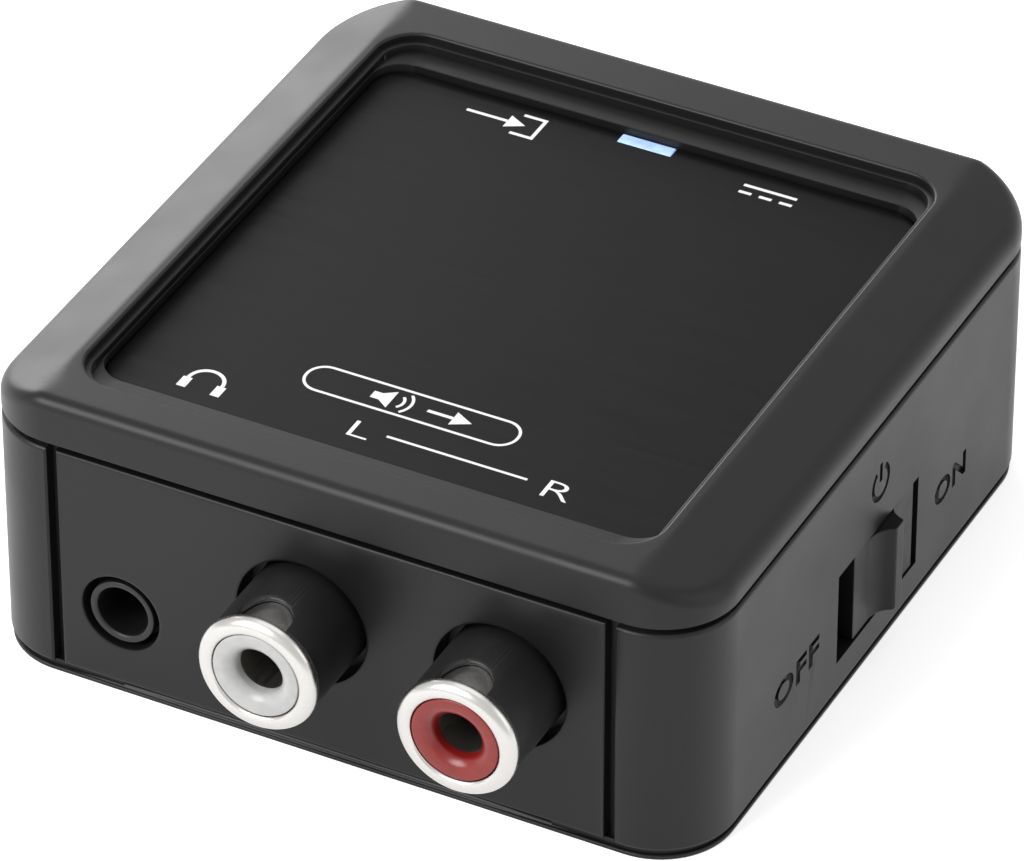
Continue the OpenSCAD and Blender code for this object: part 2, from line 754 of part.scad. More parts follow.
// Three springs beside the body, each with a finger through its wall and a soldered foot
module phones_jack_springs() {
    side_x = phones_x + phones_body_r + rest_gap;
    color("#c9a44c") for (y = finger_y) {
        block([phones_x + phones_bore_d / 2 + rest_gap, side_x + finger_t],
            [y - finger_w / 2, y + finger_w / 2], [phones_z - finger_t / 2, phones_z + finger_t / 2]);
        block([side_x, side_x + finger_t], [y - finger_w / 2, y + finger_w / 2],
            [board_top, phones_z + finger_t / 2]);
        block([side_x, side_x + foot_l], [y - finger_w / 2, y + finger_w / 2],
            [board_top, board_top + finger_t]);
    }
}

// Outline of the digital socket, narrower at its lower corners
module input_outline(inset) {
    w = input_w / 2 - inset;
    polygon([[-w, input_h - inset], [w, input_h - inset], [w, input_taper_h + inset / 2],
        [w - input_taper, inset], [-w + input_taper, inset], [-w, input_taper_h + inset / 2]]);
}

module input_shell() {
    color("#c4c2bc") union() {
        translate([input_x, input_mouth_y, input_z]) rotate([90, 0, 0]) linear_extrude(input_l) difference() {
            input_outline(0);
            input_outline(input_wall);
        }
        for (s = [-1, 1], y = input_leg_y) translate([input_x + s * (input_w / 2 - leg_t / 2), y, 0])
            block([-leg_t / 2, leg_t / 2], [-leg_w / 2, leg_w / 2], [tail_z, input_z + input_h / 2]);
    }
}

function pin_x(i) = input_x + (i - (pin_count - 1) / 2) * pin_pitch / 2;
function pin_z(i) = i % 2 == 0 ? blade_z + blade_t / 2 : blade_z - blade_t / 2 - pin_t;

module input_pins(grow) {
    front_y = input_mouth_y - blade_sink - pin_sink;
    drop_y = input_back_y - pin_t;
    for (i = [0 : pin_count - 1]) {
        x = [pin_x(i) - pin_w / 2 - grow, pin_x(i) + pin_w / 2 + grow];
        block(x, [drop_y - grow, front_y + grow], [pin_z(i) - grow, pin_z(i) + pin_t + grow]);
        block(x, [drop_y - grow, drop_y + pin_t + grow], [board_top, pin_z(i) + pin_t + grow]);
        block(x, [drop_y - 4 * pin_t, drop_y + pin_t], [board_top, board_top + pin_t]);
    }
}

module input_insulator() {
    inner = input_wall + rest_gap;
    color("#202022") difference() {
        union() {
            translate([input_x, input_back_y + input_block_l, input_z]) rotate([90, 0, 0])
                linear_extrude(input_block_l) input_outline(inner);
            block([input_x - blade_w / 2, input_x + blade_w / 2],
                [input_back_y, input_mouth_y - blade_sink],
                [blade_z - blade_t / 2, blade_z + blade_t / 2]);
        }
        input_pins(pin_slot);
    }
}

module input_contacts() {
    color("#d2b04e") input_pins(0);
}

module inlet_body() {
    bore_r = inlet_bore_d / 2;
    color("#1b1b1c") difference() {
        union() {
            block([inlet_x - inlet_body_r, inlet_x + inlet_body_r], [inlet_back_y, inlet_front_y],
                [board_top, inlet_z + inlet_top]);
            rod_y(inlet_x, inlet_z, inlet_nose_r, inlet_front_y - over, half_d - inlet_nose_sink);
        }
        rod_y(inlet_x, inlet_z, bore_r, half_d - inlet_bore_l, half_d + over);
        rod_y(inlet_x, inlet_z, inlet_pin_d / 2 + rest_gap, inlet_back_y - over, half_d);
        block([inlet_x - spring_w / 2 - rest_gap, inlet_x + spring_w / 2 + rest_gap],
            [half_d - inlet_bore_l, inlet_front_y - spring_t],
            [inlet_z - bore_r - spring_t - rest_gap, inlet_z - bore_r / 2]);
        block([inlet_x - spring_w / 2 - rest_gap, inlet_x + spring_w / 2 + rest_gap],
            [inlet_spring_y - spring_t / 2 - rest_gap, inlet_spring_y + spring_t / 2 + rest_gap],
            [board_top - over, inlet_z - bore_r]);
    }
}

module inlet_pin() {
    color("#d8d6d0") union() {
        rod_y(inlet_x, inlet_z, inlet_pin_d / 2, inlet_tail_y - tail_r, half_d - inlet_pin_sink);
        translate([inlet_x, inlet_tail_y, tail_z]) cylinder(r = tail_r, h = inlet_z - tail_z);
    }
}

module inlet_spring() {
    bore_r = inlet_bore_d / 2;
    top = inlet_z - bore_r - rest_gap / 2;
    color("#c9a44c") union() {
        block([inlet_x - spring_w / 2, inlet_x + spring_w / 2],
            [half_d - inlet_bore_l + rest_gap, inlet_front_y - 2 * spring_t],
            [top - spring_t + rest_gap, top]);
        block([inlet_x - spring_w / 2, inlet_x + spring_w / 2],
            [inlet_spring_y - spring_t / 2, inlet_spring_y + spring_t / 2], [tail_z, top]);
    }
}

// Slide switch on the board, its slider pointing through the side wall
module switch_frame() {
    slot_l = post_w + switch_travel + 4 * soft_gap;
    color("#b9b8b2") union() {
        difference() {
            block([frame_back_x, frame_x], [switch_y - frame_l / 2, switch_y + frame_l / 2],
                [frame_z, frame_z + frame_h]);
            block([frame_back_x - over, frame_x - frame_t],
                [switch_y - frame_l / 2 + frame_t, switch_y + frame_l / 2 - frame_t],
                [frame_z + frame_t, frame_z + frame_h - frame_t]);
            block([frame_x - frame_t - over, frame_x + over], [switch_y - slot_l / 2, switch_y + slot_l / 2],
                [switch_z - post_w / 2 - 2 * soft_gap, switch_z + post_w / 2 + 2 * soft_gap]);
        }
        for (s = [-1, 1]) translate([frame_leg_x, switch_y + s * (frame_l / 2 - frame_t / 2), 0])
            block([-leg_w / 2, leg_w / 2], [-frame_t / 2, frame_t / 2], [tail_z, frame_z + frame_t]);
    }
}

module switch_base() {
    inner_l = frame_l - 2 * frame_t - 2 * frame_gap;
    inner_h = frame_h - 2 * frame_t - 2 * frame_gap;
    color("#6b4a2c") difference() {
        block([frame_back_x - base_t / 2, frame_back_x + base_t / 2],
            [switch_y - inner_l / 2, switch_y + inner_l / 2],
            [switch_z - inner_h / 2, switch_z + inner_h / 2]);
        for (i = [-1, 0, 1]) translate([frame_back_x, switch_y + i * contact_pitch, switch_z])
            cube([2 * base_t, 2 * (tail_r + rest_gap), 2 * (tail_r + rest_gap)], center = true);
    }
}

module switch_terminals() {
    pad_x = frame_back_x + base_t / 2 + rest_gap / 2;
    color("#d8d6d0") for (i = [-1, 0, 1]) {
        y = switch_y + i * contact_pitch;
        block([pad_x, pad_x + contact_t], [y - contact_w / 2, y + contact_w / 2],
            [switch_z - contact_w, switch_z + contact_w]);
        block([terminal_x - tail_r, pad_x + contact_t], [y - tail_r, y + tail_r],
            [switch_z - tail_r, switch_z + tail_r]);
        block([terminal_x - tail_r, terminal_x + tail_r], [y - tail_r, y + tail_r],
            [tail_z, switch_z + tail_r]);
    }
}

module switch_slider() {
    color("#1b1b1c") union() {
        block([slider_x - slider_t, slider_x], [cap_y - slider_l / 2, cap_y + slider_l / 2],
            [switch_z - slider_h / 2, switch_z + slider_h / 2]);
        block([slider_x - slider_t, flange_x + post_reach - flange_t],
            [cap_y - post_w / 2, cap_y + post_w / 2], [switch_z - post_w / 2, switch_z + post_w / 2]);
    }
}

// Bridge that rides on the slider and joins two terminals
module switch_bridge() {
    back_x = slider_x - slider_t - rest_gap / 2;
    color("#c9a44c") block([back_x - bridge_t, back_x],
        [cap_y - slider_l / 2 + soft_gap, cap_y + slider_l / 2 - soft_gap],
        [switch_z - contact_w / 2, switch_z + contact_w / 2]);
}

// Outline of one half of the grip's rib, from its tip to the plate, and its mirrored half
function rib_half() = [[rib_out, rib_w / 2], [flare_h, rib_w / 2 + rib_flank],
    [flare_h / 3, rib_w / 2 + rib_flank + flare_w / 3], [0, rib_w / 2 + rib_flank + flare_w],
    [-rest_gap, rib_w / 2 + rib_flank + flare_w]];
function turned(half) = [for (i = [len(half) - 1 : -1 : 0]) [half[i][0], -half[i][1]]];

// Cap in the side window: plate, inner flange, socket for the slider and a ribbed grip
module switch_cap() {
    rib_y = cap_y + rib_offset;
    plate_z = [switch_z - cap_h / 2, switch_z + cap_h / 2];
    socket = post_w / 2 + post_gap;
    color("#2f2f31") difference() {
        union() {
            block([flange_x - rest_gap, cap_x], [cap_y - cap_l / 2, cap_y + cap_l / 2], plate_z);
            block([flange_x - flange_t, flange_x],
                [cap_y - cap_l / 2 - flange_over, cap_y + cap_l / 2 + flange_over],
                [plate_z[0] - flange_over_z, plate_z[1] + flange_over_z]);
            translate([cap_x, rib_y, plate_z[0] + rib_end]) linear_extrude(cap_h - 2 * rib_end)
                polygon(concat(rib_half(), turned(rib_half())));
        }
        block([flange_x - flange_t - over, flange_x + post_reach - flange_t + post_gap],
            [cap_y - socket, cap_y + socket], [switch_z - socket, switch_z + socket]);
    }
}

module on_board(share) {
    translate([share[0] * board_w, share[1] * board_d, board_top + part_lift]) children();
}

// Box on the board, centred on its place
module chip_part(size) {
    translate([-size[0] / 2, -size[1] / 2, 0]) cube(size);
}

// Flat package with a row of leads along each side that turns names
module leaded_chip(size, leads, pitch, lead_w, turns) {
    chip_part(size);
    for (turn = turns) rotate([0, 0, turn]) {
        side = (turn % 180 == 0 ? size[1] : size[0]) / 2;
        for (i = [0 : leads - 1])
            translate([(i - (leads - 1) / 2) * pitch - lead_w / 2, -side - lead_l, 0])
                cube([lead_w, lead_l + lead_tuck, lead_t]);
    }
}

module receiver_chip() {
    color("#1d1d1f") on_board(receiver_share)
        leaded_chip(receiver_size, receiver_leads, receiver_pitch, receiver_lead_w, [0, 90, 180, 270]);
}

module converter_chip() {
    color("#1d1d1f") on_board(converter_share)
        leaded_chip(converter_size, converter_leads, converter_pitch, converter_lead_w, [0, 180]);
}

module amplifier_chip() {
    color("#1d1d1f") on_board(amplifier_share)
        leaded_chip(amplifier_size, amplifier_leads, amplifier_pitch, amplifier_lead_w, [0, 180]);
}

// Regulator with three leads and a wide tab
module voltage_regulator() {
    color("#1d1d1f") on_board(regulator_share) union() {
        chip_part(regulator_size);
        for (i = [-1, 0, 1])
            translate([i * regulator_pitch, -(regulator_size[1] + regulator_lead[1]) / 2, 0])
                chip_part(regulator_lead);
        translate([0, (regulator_size[1] + regulator_tab[1]) / 2, 0]) chip_part(regulator_tab);
    }
}

// Crystal in a flat metal can with round ends
module crystal() {
    color("#c4c2bc") on_board(crystal_share) for (size = [crystal_base, crystal_can])
        linear_extrude(size[2]) round_rect(size[0], size[1], size[0] / 2 - rest_gap);
}

// Aluminium cans with a pressed groove, each on a square base
module electrolytic_capacitors() {
    upper_z = can_groove_z + can_groove_h;
    color("#4a4a50") for (share = can_shares) on_board(share) union() {
        chip_part([2 * can_r, 2 * can_r, can_base_h]);
        cylinder(r = can_r - rest_gap, h = can_groove_z);
        cylinder(r = can_r - can_groove_in, h = can_h);
        translate([0, 0, upper_z]) cylinder(r = can_r - rest_gap, h = can_h - upper_z);
    }
}

module inductor() {
    color("#3a3a3d") on_board(inductor_share) union() {
        chip_part([inductor_size[0], inductor_size[1], inductor_base_h]);
        cylinder(r = inductor_size[0] / 2 - rest_gap, h = inductor_size[2]);
    }
}

module chip_capacitors() {
    color("#b58f5e") for (share = cap_row_shares) on_board(share) chip_part(small_cap);
}

module chip_resistors() {
    color("#26262a") for (share = res_row_shares) on_board(share) chip_part(small_res);
}

module status_lamp() {
    color("#e8ecf4") translate([lamp_x, lamp_y, board_top + part_lift]) chip_part(lamp_size);
}

// Screw with its head's face at head_z: the shank goes up from it, or down when turned is 180
module screw(head_z, shank_l, turned) {
    translate([0, 0, head_z]) rotate([turned, 0, 0]) difference() {
        union() {
            cylinder(r = head_r, h = head_h);
            cylinder(r = screw_r, h = head_h + shank_l);
        }
        for (turn = [0, 90]) rotate([0, 0, turn])
            translate([-screw_r, -cross_w / 2, -over]) cube([2 * screw_r, cross_w, over + head_h / 2]);
    }
}

module case_screws() {
    color("#5c5c60") at_corners() screw(head_sink, screw_l, 0);
}

module board_screws() {
    color("#b9b8b2") screw_posts() screw(board_top + rest_gap + head_h, board_screw_l, 180);
}

upper_cover();
label_plate();
label_adhesive();
lamp_window();
lower_case();
front_panel();
rear_panel();
circuit_board();
phono_housing();
phono_shell(phono_x[0]);  // phono_left_shell
phono_insulator(phono_x[0], "#e4e4e2");  // phono_left_insulator
phono_contact(phono_x[0]);  // phono_left_contact
phono_shell(phono_x[1]);  // phono_right_shell
phono_insulator(phono_x[1], "#c23a36");  // phono_right_insulator
phono_contact(phono_x[1]);  // phono_right_contact
phones_jack_body();
phones_jack_springs();
input_shell();
input_insulator();
input_contacts();
inlet_body();
inlet_pin();
inlet_spring();
switch_frame();
switch_base();
switch_terminals();
switch_slider();
switch_bridge();
switch_cap();
receiver_chip();
converter_chip();
amplifier_chip();
voltage_regulator();
crystal();
electrolytic_capacitors();
inductor();
chip_capacitors();
chip_resistors();
status_lamp();
case_screws();
board_screws();
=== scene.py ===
# %% [markdown]
# # A small audio converter, dressed for the camera
# The box is black moulded plastic with a dark brushed label, two phono jacks and a headphone jack in
# front, and a slide switch in its right wall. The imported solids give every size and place. Each cell
# below replaces or refines what can be seen, and says why it is made that way.

# %% Load the frame
import json
import math

import bmesh
import bpy
from mathutils import Matrix, Vector
from mathutils.geometry import tessellate_polygon


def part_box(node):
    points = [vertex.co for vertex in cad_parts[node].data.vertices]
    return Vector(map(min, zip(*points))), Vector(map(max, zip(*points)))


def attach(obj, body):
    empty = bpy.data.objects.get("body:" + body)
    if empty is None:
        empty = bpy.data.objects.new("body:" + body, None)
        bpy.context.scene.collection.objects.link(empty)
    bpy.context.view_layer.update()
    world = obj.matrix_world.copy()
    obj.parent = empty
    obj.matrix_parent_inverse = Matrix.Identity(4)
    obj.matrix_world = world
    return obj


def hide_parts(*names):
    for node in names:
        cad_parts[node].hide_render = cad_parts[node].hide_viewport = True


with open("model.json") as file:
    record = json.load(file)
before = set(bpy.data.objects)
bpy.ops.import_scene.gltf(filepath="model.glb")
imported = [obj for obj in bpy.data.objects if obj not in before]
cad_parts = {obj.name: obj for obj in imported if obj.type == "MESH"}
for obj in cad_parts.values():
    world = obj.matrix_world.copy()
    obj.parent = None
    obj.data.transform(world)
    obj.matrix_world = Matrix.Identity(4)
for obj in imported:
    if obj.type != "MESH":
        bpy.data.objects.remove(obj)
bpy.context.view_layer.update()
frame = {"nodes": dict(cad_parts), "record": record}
MM = 0.001
mounts = {mount["name"]: mount for mount in frame["record"]["mounts"]}


def box_mm(node):
    """Lowest and highest corner of a solid, in millimetres."""
    low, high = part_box(node)
    return low / MM, high / MM


def mount_mm(name):
    """A mount's place, in millimetres."""
    return Vector(mounts[name]["pos_m"]) / MM


case_high = box_mm("lower_case")[1]
HALF_W = case_high.x
HALF_D = case_high.y
TOP = box_mm("upper_cover")[1].z
print("case", round(2 * HALF_W, 2), "x", round(2 * HALF_D, 2), "x", round(TOP, 2), "mm")

# %% [markdown]
# ## Shaping helpers
# Every mesh is built in millimetres, because the boolean solver is happier with numbers near one than
# with thousandths, and each piece is scaled to metres once, when it is finished. A loft joins rings that
# have the same number of points, so it suits moulded shells; a lathe suits whatever was turned; and a
# plate suits what was stamped or moulded flat, with holes and a rounded rim.

# %% Mesh helpers
MERGE = 1e-4
FLAT_ANGLE = 0.5
CIRCLE_STEPS = 72


def in_scene(name, data):
    """A new object that holds the data and is part of the scene."""
    obj = bpy.data.objects.new(name, data)
    bpy.context.scene.collection.objects.link(obj)
    return obj


def new_object(name, points, faces):
    """An object in millimetres, with doubles merged and its faces pointing outwards."""
    mesh = bpy.data.meshes.new(name)
    mesh.from_pydata([tuple(point) for point in points], [], faces)
    obj = in_scene(name, mesh)
    clean(obj)
    return obj


def clean(obj, merge=MERGE):
    """Merge doubles, drop flat faces and turn the normals outwards."""
    shape = bmesh.new()
    shape.from_mesh(obj.data)
    bmesh.ops.remove_doubles(shape, verts=shape.verts, dist=merge)
    bmesh.ops.dissolve_degenerate(shape, edges=shape.edges, dist=merge)
    bmesh.ops.recalc_face_normals(shape, faces=shape.faces)
    shape.to_mesh(obj.data)
    shape.free()


def bake(obj):
    """Turn the object's modifiers into plain mesh."""
    graph = bpy.context.evaluated_depsgraph_get()
    mesh = bpy.data.meshes.new_from_object(obj.evaluated_get(graph))
    obj.modifiers.clear()
    obj.data = mesh
    return obj


def carve(obj, tool, operation="DIFFERENCE"):
    """Cut with, add or keep only a tool, which is then thrown away."""
    modifier = obj.modifiers.new("carve", "BOOLEAN")
    modifier.operation = operation
    modifier.solver = "EXACT"
    modifier.object = tool
    bake(obj)
    bpy.data.objects.remove(tool)
    return obj


def soften(obj, width, segments, angle=40):
    """Round the sharp edges, as a mould or a press leaves them."""
    modifier = obj.modifiers.new("edges", "BEVEL")
    modifier.width = width
    modifier.segments = segments
    modifier.limit_method = "ANGLE"
    modifier.angle_limit = math.radians(angle)
    modifier.use_clamp_overlap = True
    return bake(obj)


def solid_copy(node):
    """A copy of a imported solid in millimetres, its loose triangles merged into whole faces."""
    source = frame["nodes"][node].data.copy()
    source.transform(Matrix.Scale(1 / MM, 4))
    obj = in_scene(node + "_form", source)
    shape = bmesh.new()
    shape.from_mesh(source)
    bmesh.ops.remove_doubles(shape, verts=shape.verts, dist=MERGE)
    bmesh.ops.dissolve_limit(shape, angle_limit=math.radians(FLAT_ANGLE), verts=shape.verts,
                             edges=shape.edges)
    bmesh.ops.recalc_face_normals(shape, faces=shape.faces)
    shape.to_mesh(source)
    shape.free()
    source.materials.clear()
    return obj


def finish(obj, name, material, body, replaced=(), smooth=32):
    """Scale a piece to metres, shade it, and hang it on its body in place of its solids."""
    obj.name = name
    obj.data.name = name
    obj.data.materials.clear()
    obj.data.materials.append(material)
    obj.data.transform(Matrix.Scale(MM, 4))
    for face in obj.data.polygons:
        face.use_smooth = True
        face.material_index = 0
    obj.data.set_sharp_from_angle(angle=math.radians(smooth))
    modifier = obj.modifiers.new("shading", "WEIGHTED_NORMAL")
    modifier.keep_sharp = True
    bake(obj)
    obj.data.name = name
    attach(obj, body)
    if replaced:
        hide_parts(*replaced)
    print(name, len(obj.data.polygons), "faces")
    return obj


def outline(half_x, half_y, radius, turn=16, side=8):
    """Rounded rectangle: (x, y, normal x, normal y) all the way round, always the same count."""
    points = []
    signs = ((1, 1), (-1, 1), (-1, -1), (1, -1))
    for quarter in range(4):
        sx, sy = signs[quarter]
        for step in range(turn + 1):
            angle = (quarter + step / turn) * math.pi / 2
            nx, ny = math.cos(angle), math.sin(angle)
            points.append((sx * (half_x - radius) + radius * nx, sy * (half_y - radius) + radius * ny,
                           nx, ny))
        start = points[-1]
        tx, ty = signs[(quarter + 1) % 4]
        end = (tx * (half_x - radius) + radius * nx, ty * (half_y - radius) + radius * ny)
        for step in range(1, side):
            share = step / side
            points.append((start[0] * (1 - share) + end[0] * share, start[1] * (1 - share) + end[1] * share,
                           nx, ny))
    return points


def bands(rows, count, start=0):
    """Faces between rows of count points, each row closed on itself."""
    faces = []
    for first in range(start, start + (rows - 1) * count, count):
        for i in range(count):
            j = (i + 1) % count
            faces.append((first + i, first + j, first + count + j, first + count + i))
    return faces


def loft(name, rings):
    """Closed skin through rings of equal count, capped at both ends."""
    count = len(rings[0])
    points = [point for ring in rings for point in ring]
    faces = bands(len(rings), count)
    faces.append(tuple(range(count)))
    faces.append(tuple((len(rings) - 1) * count + i for i in range(count)))
    return new_object(name, points, faces)


def lathe(name, profile, x, z, segments=96):
    """Turn a closed profile of (y, radius) about the line through x and z along Y."""
    points, faces = [], []
    count = len(profile)
    for step in range(segments):
        angle = 2 * math.pi * step / segments
        for y, radius in profile:
            points.append((x + radius * math.cos(angle), y, z + radius * math.sin(angle)))
    for step in range(segments):
        after = (step + 1) % segments
        for i in range(count):
            j = (i + 1) % count
            faces.append((step * count + i, step * count + j, after * count + j, after * count + i))
    return new_object(name, points, faces)


def arc(y, radius, size, start, end, steps):
    """Points of (y, radius) on a quarter or half circle, between two angles in degrees."""
    return [(y + size * math.cos(math.radians(start + (end - start) * i / steps)),
             radius + size * math.sin(math.radians(start + (end - start) * i / steps)))
            for i in range(steps + 1)]


def block(name, low, high):
    """Plain box between two corners, as a tool or the start of a piece."""
    xs, ys, zs = ((low[i], high[i]) for i in range(3))
    points = [(x, y, z) for x in xs for y in ys for z in zs]
    faces = [(0, 1, 3, 2), (4, 6, 7, 5), (0, 4, 5, 1), (2, 3, 7, 6), (0, 2, 6, 4), (1, 5, 7, 3)]
    return new_object(name, points, faces)


def plate(name, loops, levels, place):
    """Flat piece: loops maps an inset to 2D points, levels lists (inset, height), place makes 3D points.

    The first loop is the outside, and the others are holes, which grow as the inset does."""
    points, faces = [], []
    for loop in loops:
        rows = [[place(u, v, height) for u, v in loop(inset)] for inset, height in levels]
        faces += bands(len(rows), len(rows[0]), len(points))
        points += [point for row in rows for point in row]
    for level in (0, -1):
        inset, height = levels[level]
        rings = [[Vector((u, v, 0)) for u, v in loop(inset)] for loop in loops]
        start = len(points)
        points += [place(p.x, p.y, height) for ring in rings for p in ring]
        faces += [tuple(start + i for i in triangle) for triangle in tessellate_polygon(rings)]
    return new_object(name, points, faces)


def rim(thickness, rounding):
    """Levels of a plate that is square at the back and rounded at the front.

    The last level lies flat beside the rounding, so that the face behind it shades flat too."""
    levels = [(0, 0), (0, thickness - rounding)]
    for degrees in (30, 60, 90):
        c, s = math.cos(math.radians(degrees)), math.sin(math.radians(degrees))
        levels.append((rounding * (1 - c), thickness - rounding * (1 - s)))
    levels.append((rounding + 0.3, thickness))
    return levels


def rectangle(u0, u1, v0, v1):
    """Rectangle that shrinks by the inset."""
    return lambda inset: [(u0 + inset, v0 + inset), (u1 - inset, v0 + inset), (u1 - inset, v1 - inset),
                          (u0 + inset, v1 - inset)]


def hole(u, v, radius):
    """Round hole, whose rim is rounded about half as much as the plate's."""
    turns = [2 * math.pi * i / CIRCLE_STEPS for i in range(CIRCLE_STEPS)]
    return lambda inset: [(u + (radius + 0.45 * inset) * math.cos(a),
                           v + (radius + 0.45 * inset) * math.sin(a)) for a in turns]


# %% [markdown]
# ## Materials
# Each material is a Principled shader with a little of what the real surface does. One small function adds
# any node with its settings and links, and most surfaces need no more than one noise: it shades the
# colour, makes the gloss uneven, or raises the surface, and its cells are as large as on the real thing.

# %% Material helpers


def linear(hex_colour):
    """An sRGB hex colour as linear red, green, blue and alpha."""
    values = [int(hex_colour[i:i + 2], 16) / 255 for i in (1, 3, 5)]
    return [v / 12.92 if v <= 0.04045 else ((v + 0.055) / 1.055) ** 2.4 for v in values] + [1.0]


def add(tree, kind, settings=None, links=None):
    """Add a node: settings go to its properties or sockets, links join other nodes' outputs to it."""
    node = tree.nodes.new(kind)
    for key, value in (settings or {}).items():
        if isinstance(key, str) and hasattr(node, key):
            setattr(node, key, value)
        else:
            node.inputs[key].default_value = value
    for key, (source, output) in (links or {}).items():
        tree.links.new(source.outputs[output], node.inputs[key])
    return node


def start_material(name, colour, roughness, metallic=0.0, ior=1.5):
    """A material with its Principled shader, output and object coordinates."""
    material = bpy.data.materials.new(name)
    material.use_nodes = True
    tree = material.node_tree
    tree.nodes.clear()
    shader = add(tree, "ShaderNodeBsdfPrincipled", {"Base Color": linear(colour), "Roughness": roughness,
                                                    "Metallic": metallic, "IOR": ior})
    add(tree, "ShaderNodeOutputMaterial", {}, {"Surface": (shader, "BSDF")})
    place = add(tree, "ShaderNodeTexCoord")
    print("material", name)
    return material, tree, shader, place


def grain(tree, place, size_mm, detail, stretch=(1, 1, 1)):
    """Noise whose cells are about size_mm across."""
    mapping = add(tree, "ShaderNodeMapping", {"Scale": [1 / (size_mm * MM * s) for s in stretch]},
                  {"Vector": (place, "Object")})
    return add(tree, "ShaderNodeTexNoise", {"Scale": 1.0, "Detail": detail, "Roughness": 0.6},
               {"Vector": (mapping, "Vector")})


def roughen(tree, shader, source, low, high):
    """Vary the roughness between two values."""
    rough = add(tree, "ShaderNodeMapRange",
                {"From Min": 0.3, "From Max": 0.7, "To Min": low, "To Max": high}, {"Value": (source, "Fac")})
    tree.links.new(rough.outputs["Result"], shader.inputs["Roughness"])


def tint(tree, shader, source, dark, pale):
    """Vary the colour between two hex colours."""
    ramp = add(tree, "ShaderNodeValToRGB", {}, {"Fac": (source, "Fac")})
    ramp.color_ramp.elements[0].position = 0.35
    ramp.color_ramp.elements[0].color = linear(dark)
    ramp.color_ramp.elements[1].position = 0.65
    ramp.color_ramp.elements[1].color = linear(pale)
    tree.links.new(ramp.outputs["Color"], shader.inputs["Base Color"])


def relief(tree, shader, source, depth_mm, strength):
    """Raise and sink the surface by about depth_mm."""
    bump = add(tree, "ShaderNodeBump", {"Strength": strength, "Distance": depth_mm * MM},
               {"Height": (source, "Fac")})
    tree.links.new(bump.outputs["Normal"], shader.inputs["Normal"])


def surface(name, colour, roughness, cells, shades=None, gloss=None, bump=None, metallic=0.0, ior=1.5,
            extra=None):
    """Material with one noise: cells is (size in mm, detail, stretch), and what varies is optional."""
    material, tree, shader, place = start_material(name, colour, roughness, metallic, ior)
    noise = grain(tree, place, *cells)
    if shades:
        tint(tree, shader, noise, *shades)
    if gloss:
        roughen(tree, shader, noise, *gloss)
    if bump:
        relief(tree, shader, noise, *bump)
    for key, value in (extra or {}).items():
        shader.inputs[key].default_value = value
    return material


# %% [markdown]
# The case is black ABS from a spark-eroded mould. The erosion leaves a fine pebbled texture, a few
# hundredths of a millimetre deep with cells of about a quarter of a millimetre, which is why the box looks
# satin: highlights are wide and soft, and a slight unevenness shows in them.

# %% Case plastic
case_black, tree, shader, place = start_material("moulded_ABS_black", "#111112", 0.40, ior=1.345)
pebble = grain(tree, place, 0.22, 2.0)
cloud = grain(tree, place, 6.0, 2.0)
tint(tree, shader, cloud, "#101011", "#131314")
roughen(tree, shader, cloud, 0.37, 0.43)
relief(tree, shader, pebble, 0.008, 0.6)

# %% [markdown]
# The label is a thin aluminium plate, brushed from side to side and then dyed nearly black. Brushing is
# thousands of scratches a few hundredths of a millimetre wide and several millimetres long, so the noise
# is stretched along X. They are drawn about a tenth of a millimetre wide, so that they show.

# %% Brushed label
label_metal, tree, shader, place = start_material("brushed_dyed_aluminium", "#0b0b0c", 0.36,
                                                  metallic=0.1, ior=1.18)
scratch = grain(tree, place, 0.07, 3.0, stretch=(80, 1, 1))
streak = grain(tree, place, 0.5, 2.0, stretch=(40, 1, 1))
tint(tree, shader, scratch, "#080809", "#101011")
roughen(tree, shader, streak, 0.31, 0.42)
relief(tree, shader, scratch, 0.002, 0.35)

label_ink = surface("screen_print_white", "#eeeeec", 0.55, (0.12, 2.0), shades=("#e6e6e4", "#f4f4f2"))

# %% [markdown]
# The phono jacks mix three finishes: bright nickel plate on pressed brass, a satin black polyester
# barrel, and coloured polypropylene insulators. Nickel is a warm, slightly soft mirror. The headphone jack
# is nylon and the switch's cap acetal, and springs and contacts have a thin wash of gold.

# %% Jack finishes
nickel = surface("nickel_plate", "#c2c0bd", 0.25, (1.6, 1.0), gloss=(0.25, 0.29), metallic=1.0)
black_pbt = surface("moulded_PBT_black_satin", "#19191a", 0.45, (1.2, 2.0), gloss=(0.42, 0.48), ior=1.46)
black_satin = surface("moulded_PA_black_satin", "#131314", 0.42, (1.5, 2.0), gloss=(0.38, 0.46), ior=1.42)
cap_black = surface("moulded_POM_black", "#0f0f10", 0.42, (2.0, 2.0), gloss=(0.38, 0.46), ior=1.33)
white_plastic = surface("moulded_PP_white", "#b0b0af", 0.3, (0.8, 2.0), shades=("#acacab", "#b4b4b3"),
                        ior=1.49, extra={"Subsurface Weight": 0.08, "Subsurface Scale": 0.5 * MM})
red_plastic = surface("moulded_PP_red", "#7c1814", 0.3, (0.8, 2.0), shades=("#781713", "#821b17"), ior=1.49)
gilt = surface("gold_washed_bronze", "#c9a055", 0.25, (0.2, 2.0), shades=("#bf954b", "#d6b068"),
               metallic=1.0)

# %% [markdown]
# Sheet steel with a tin flash makes the input's shell, the switch's frame and the board's screws. Tin is
# greyer and duller than nickel, with faint rolling marks. The case screws are blackened zinc plate, and
# the light pipe is a clear plastic that glows pale blue, because the lamp under it is on.

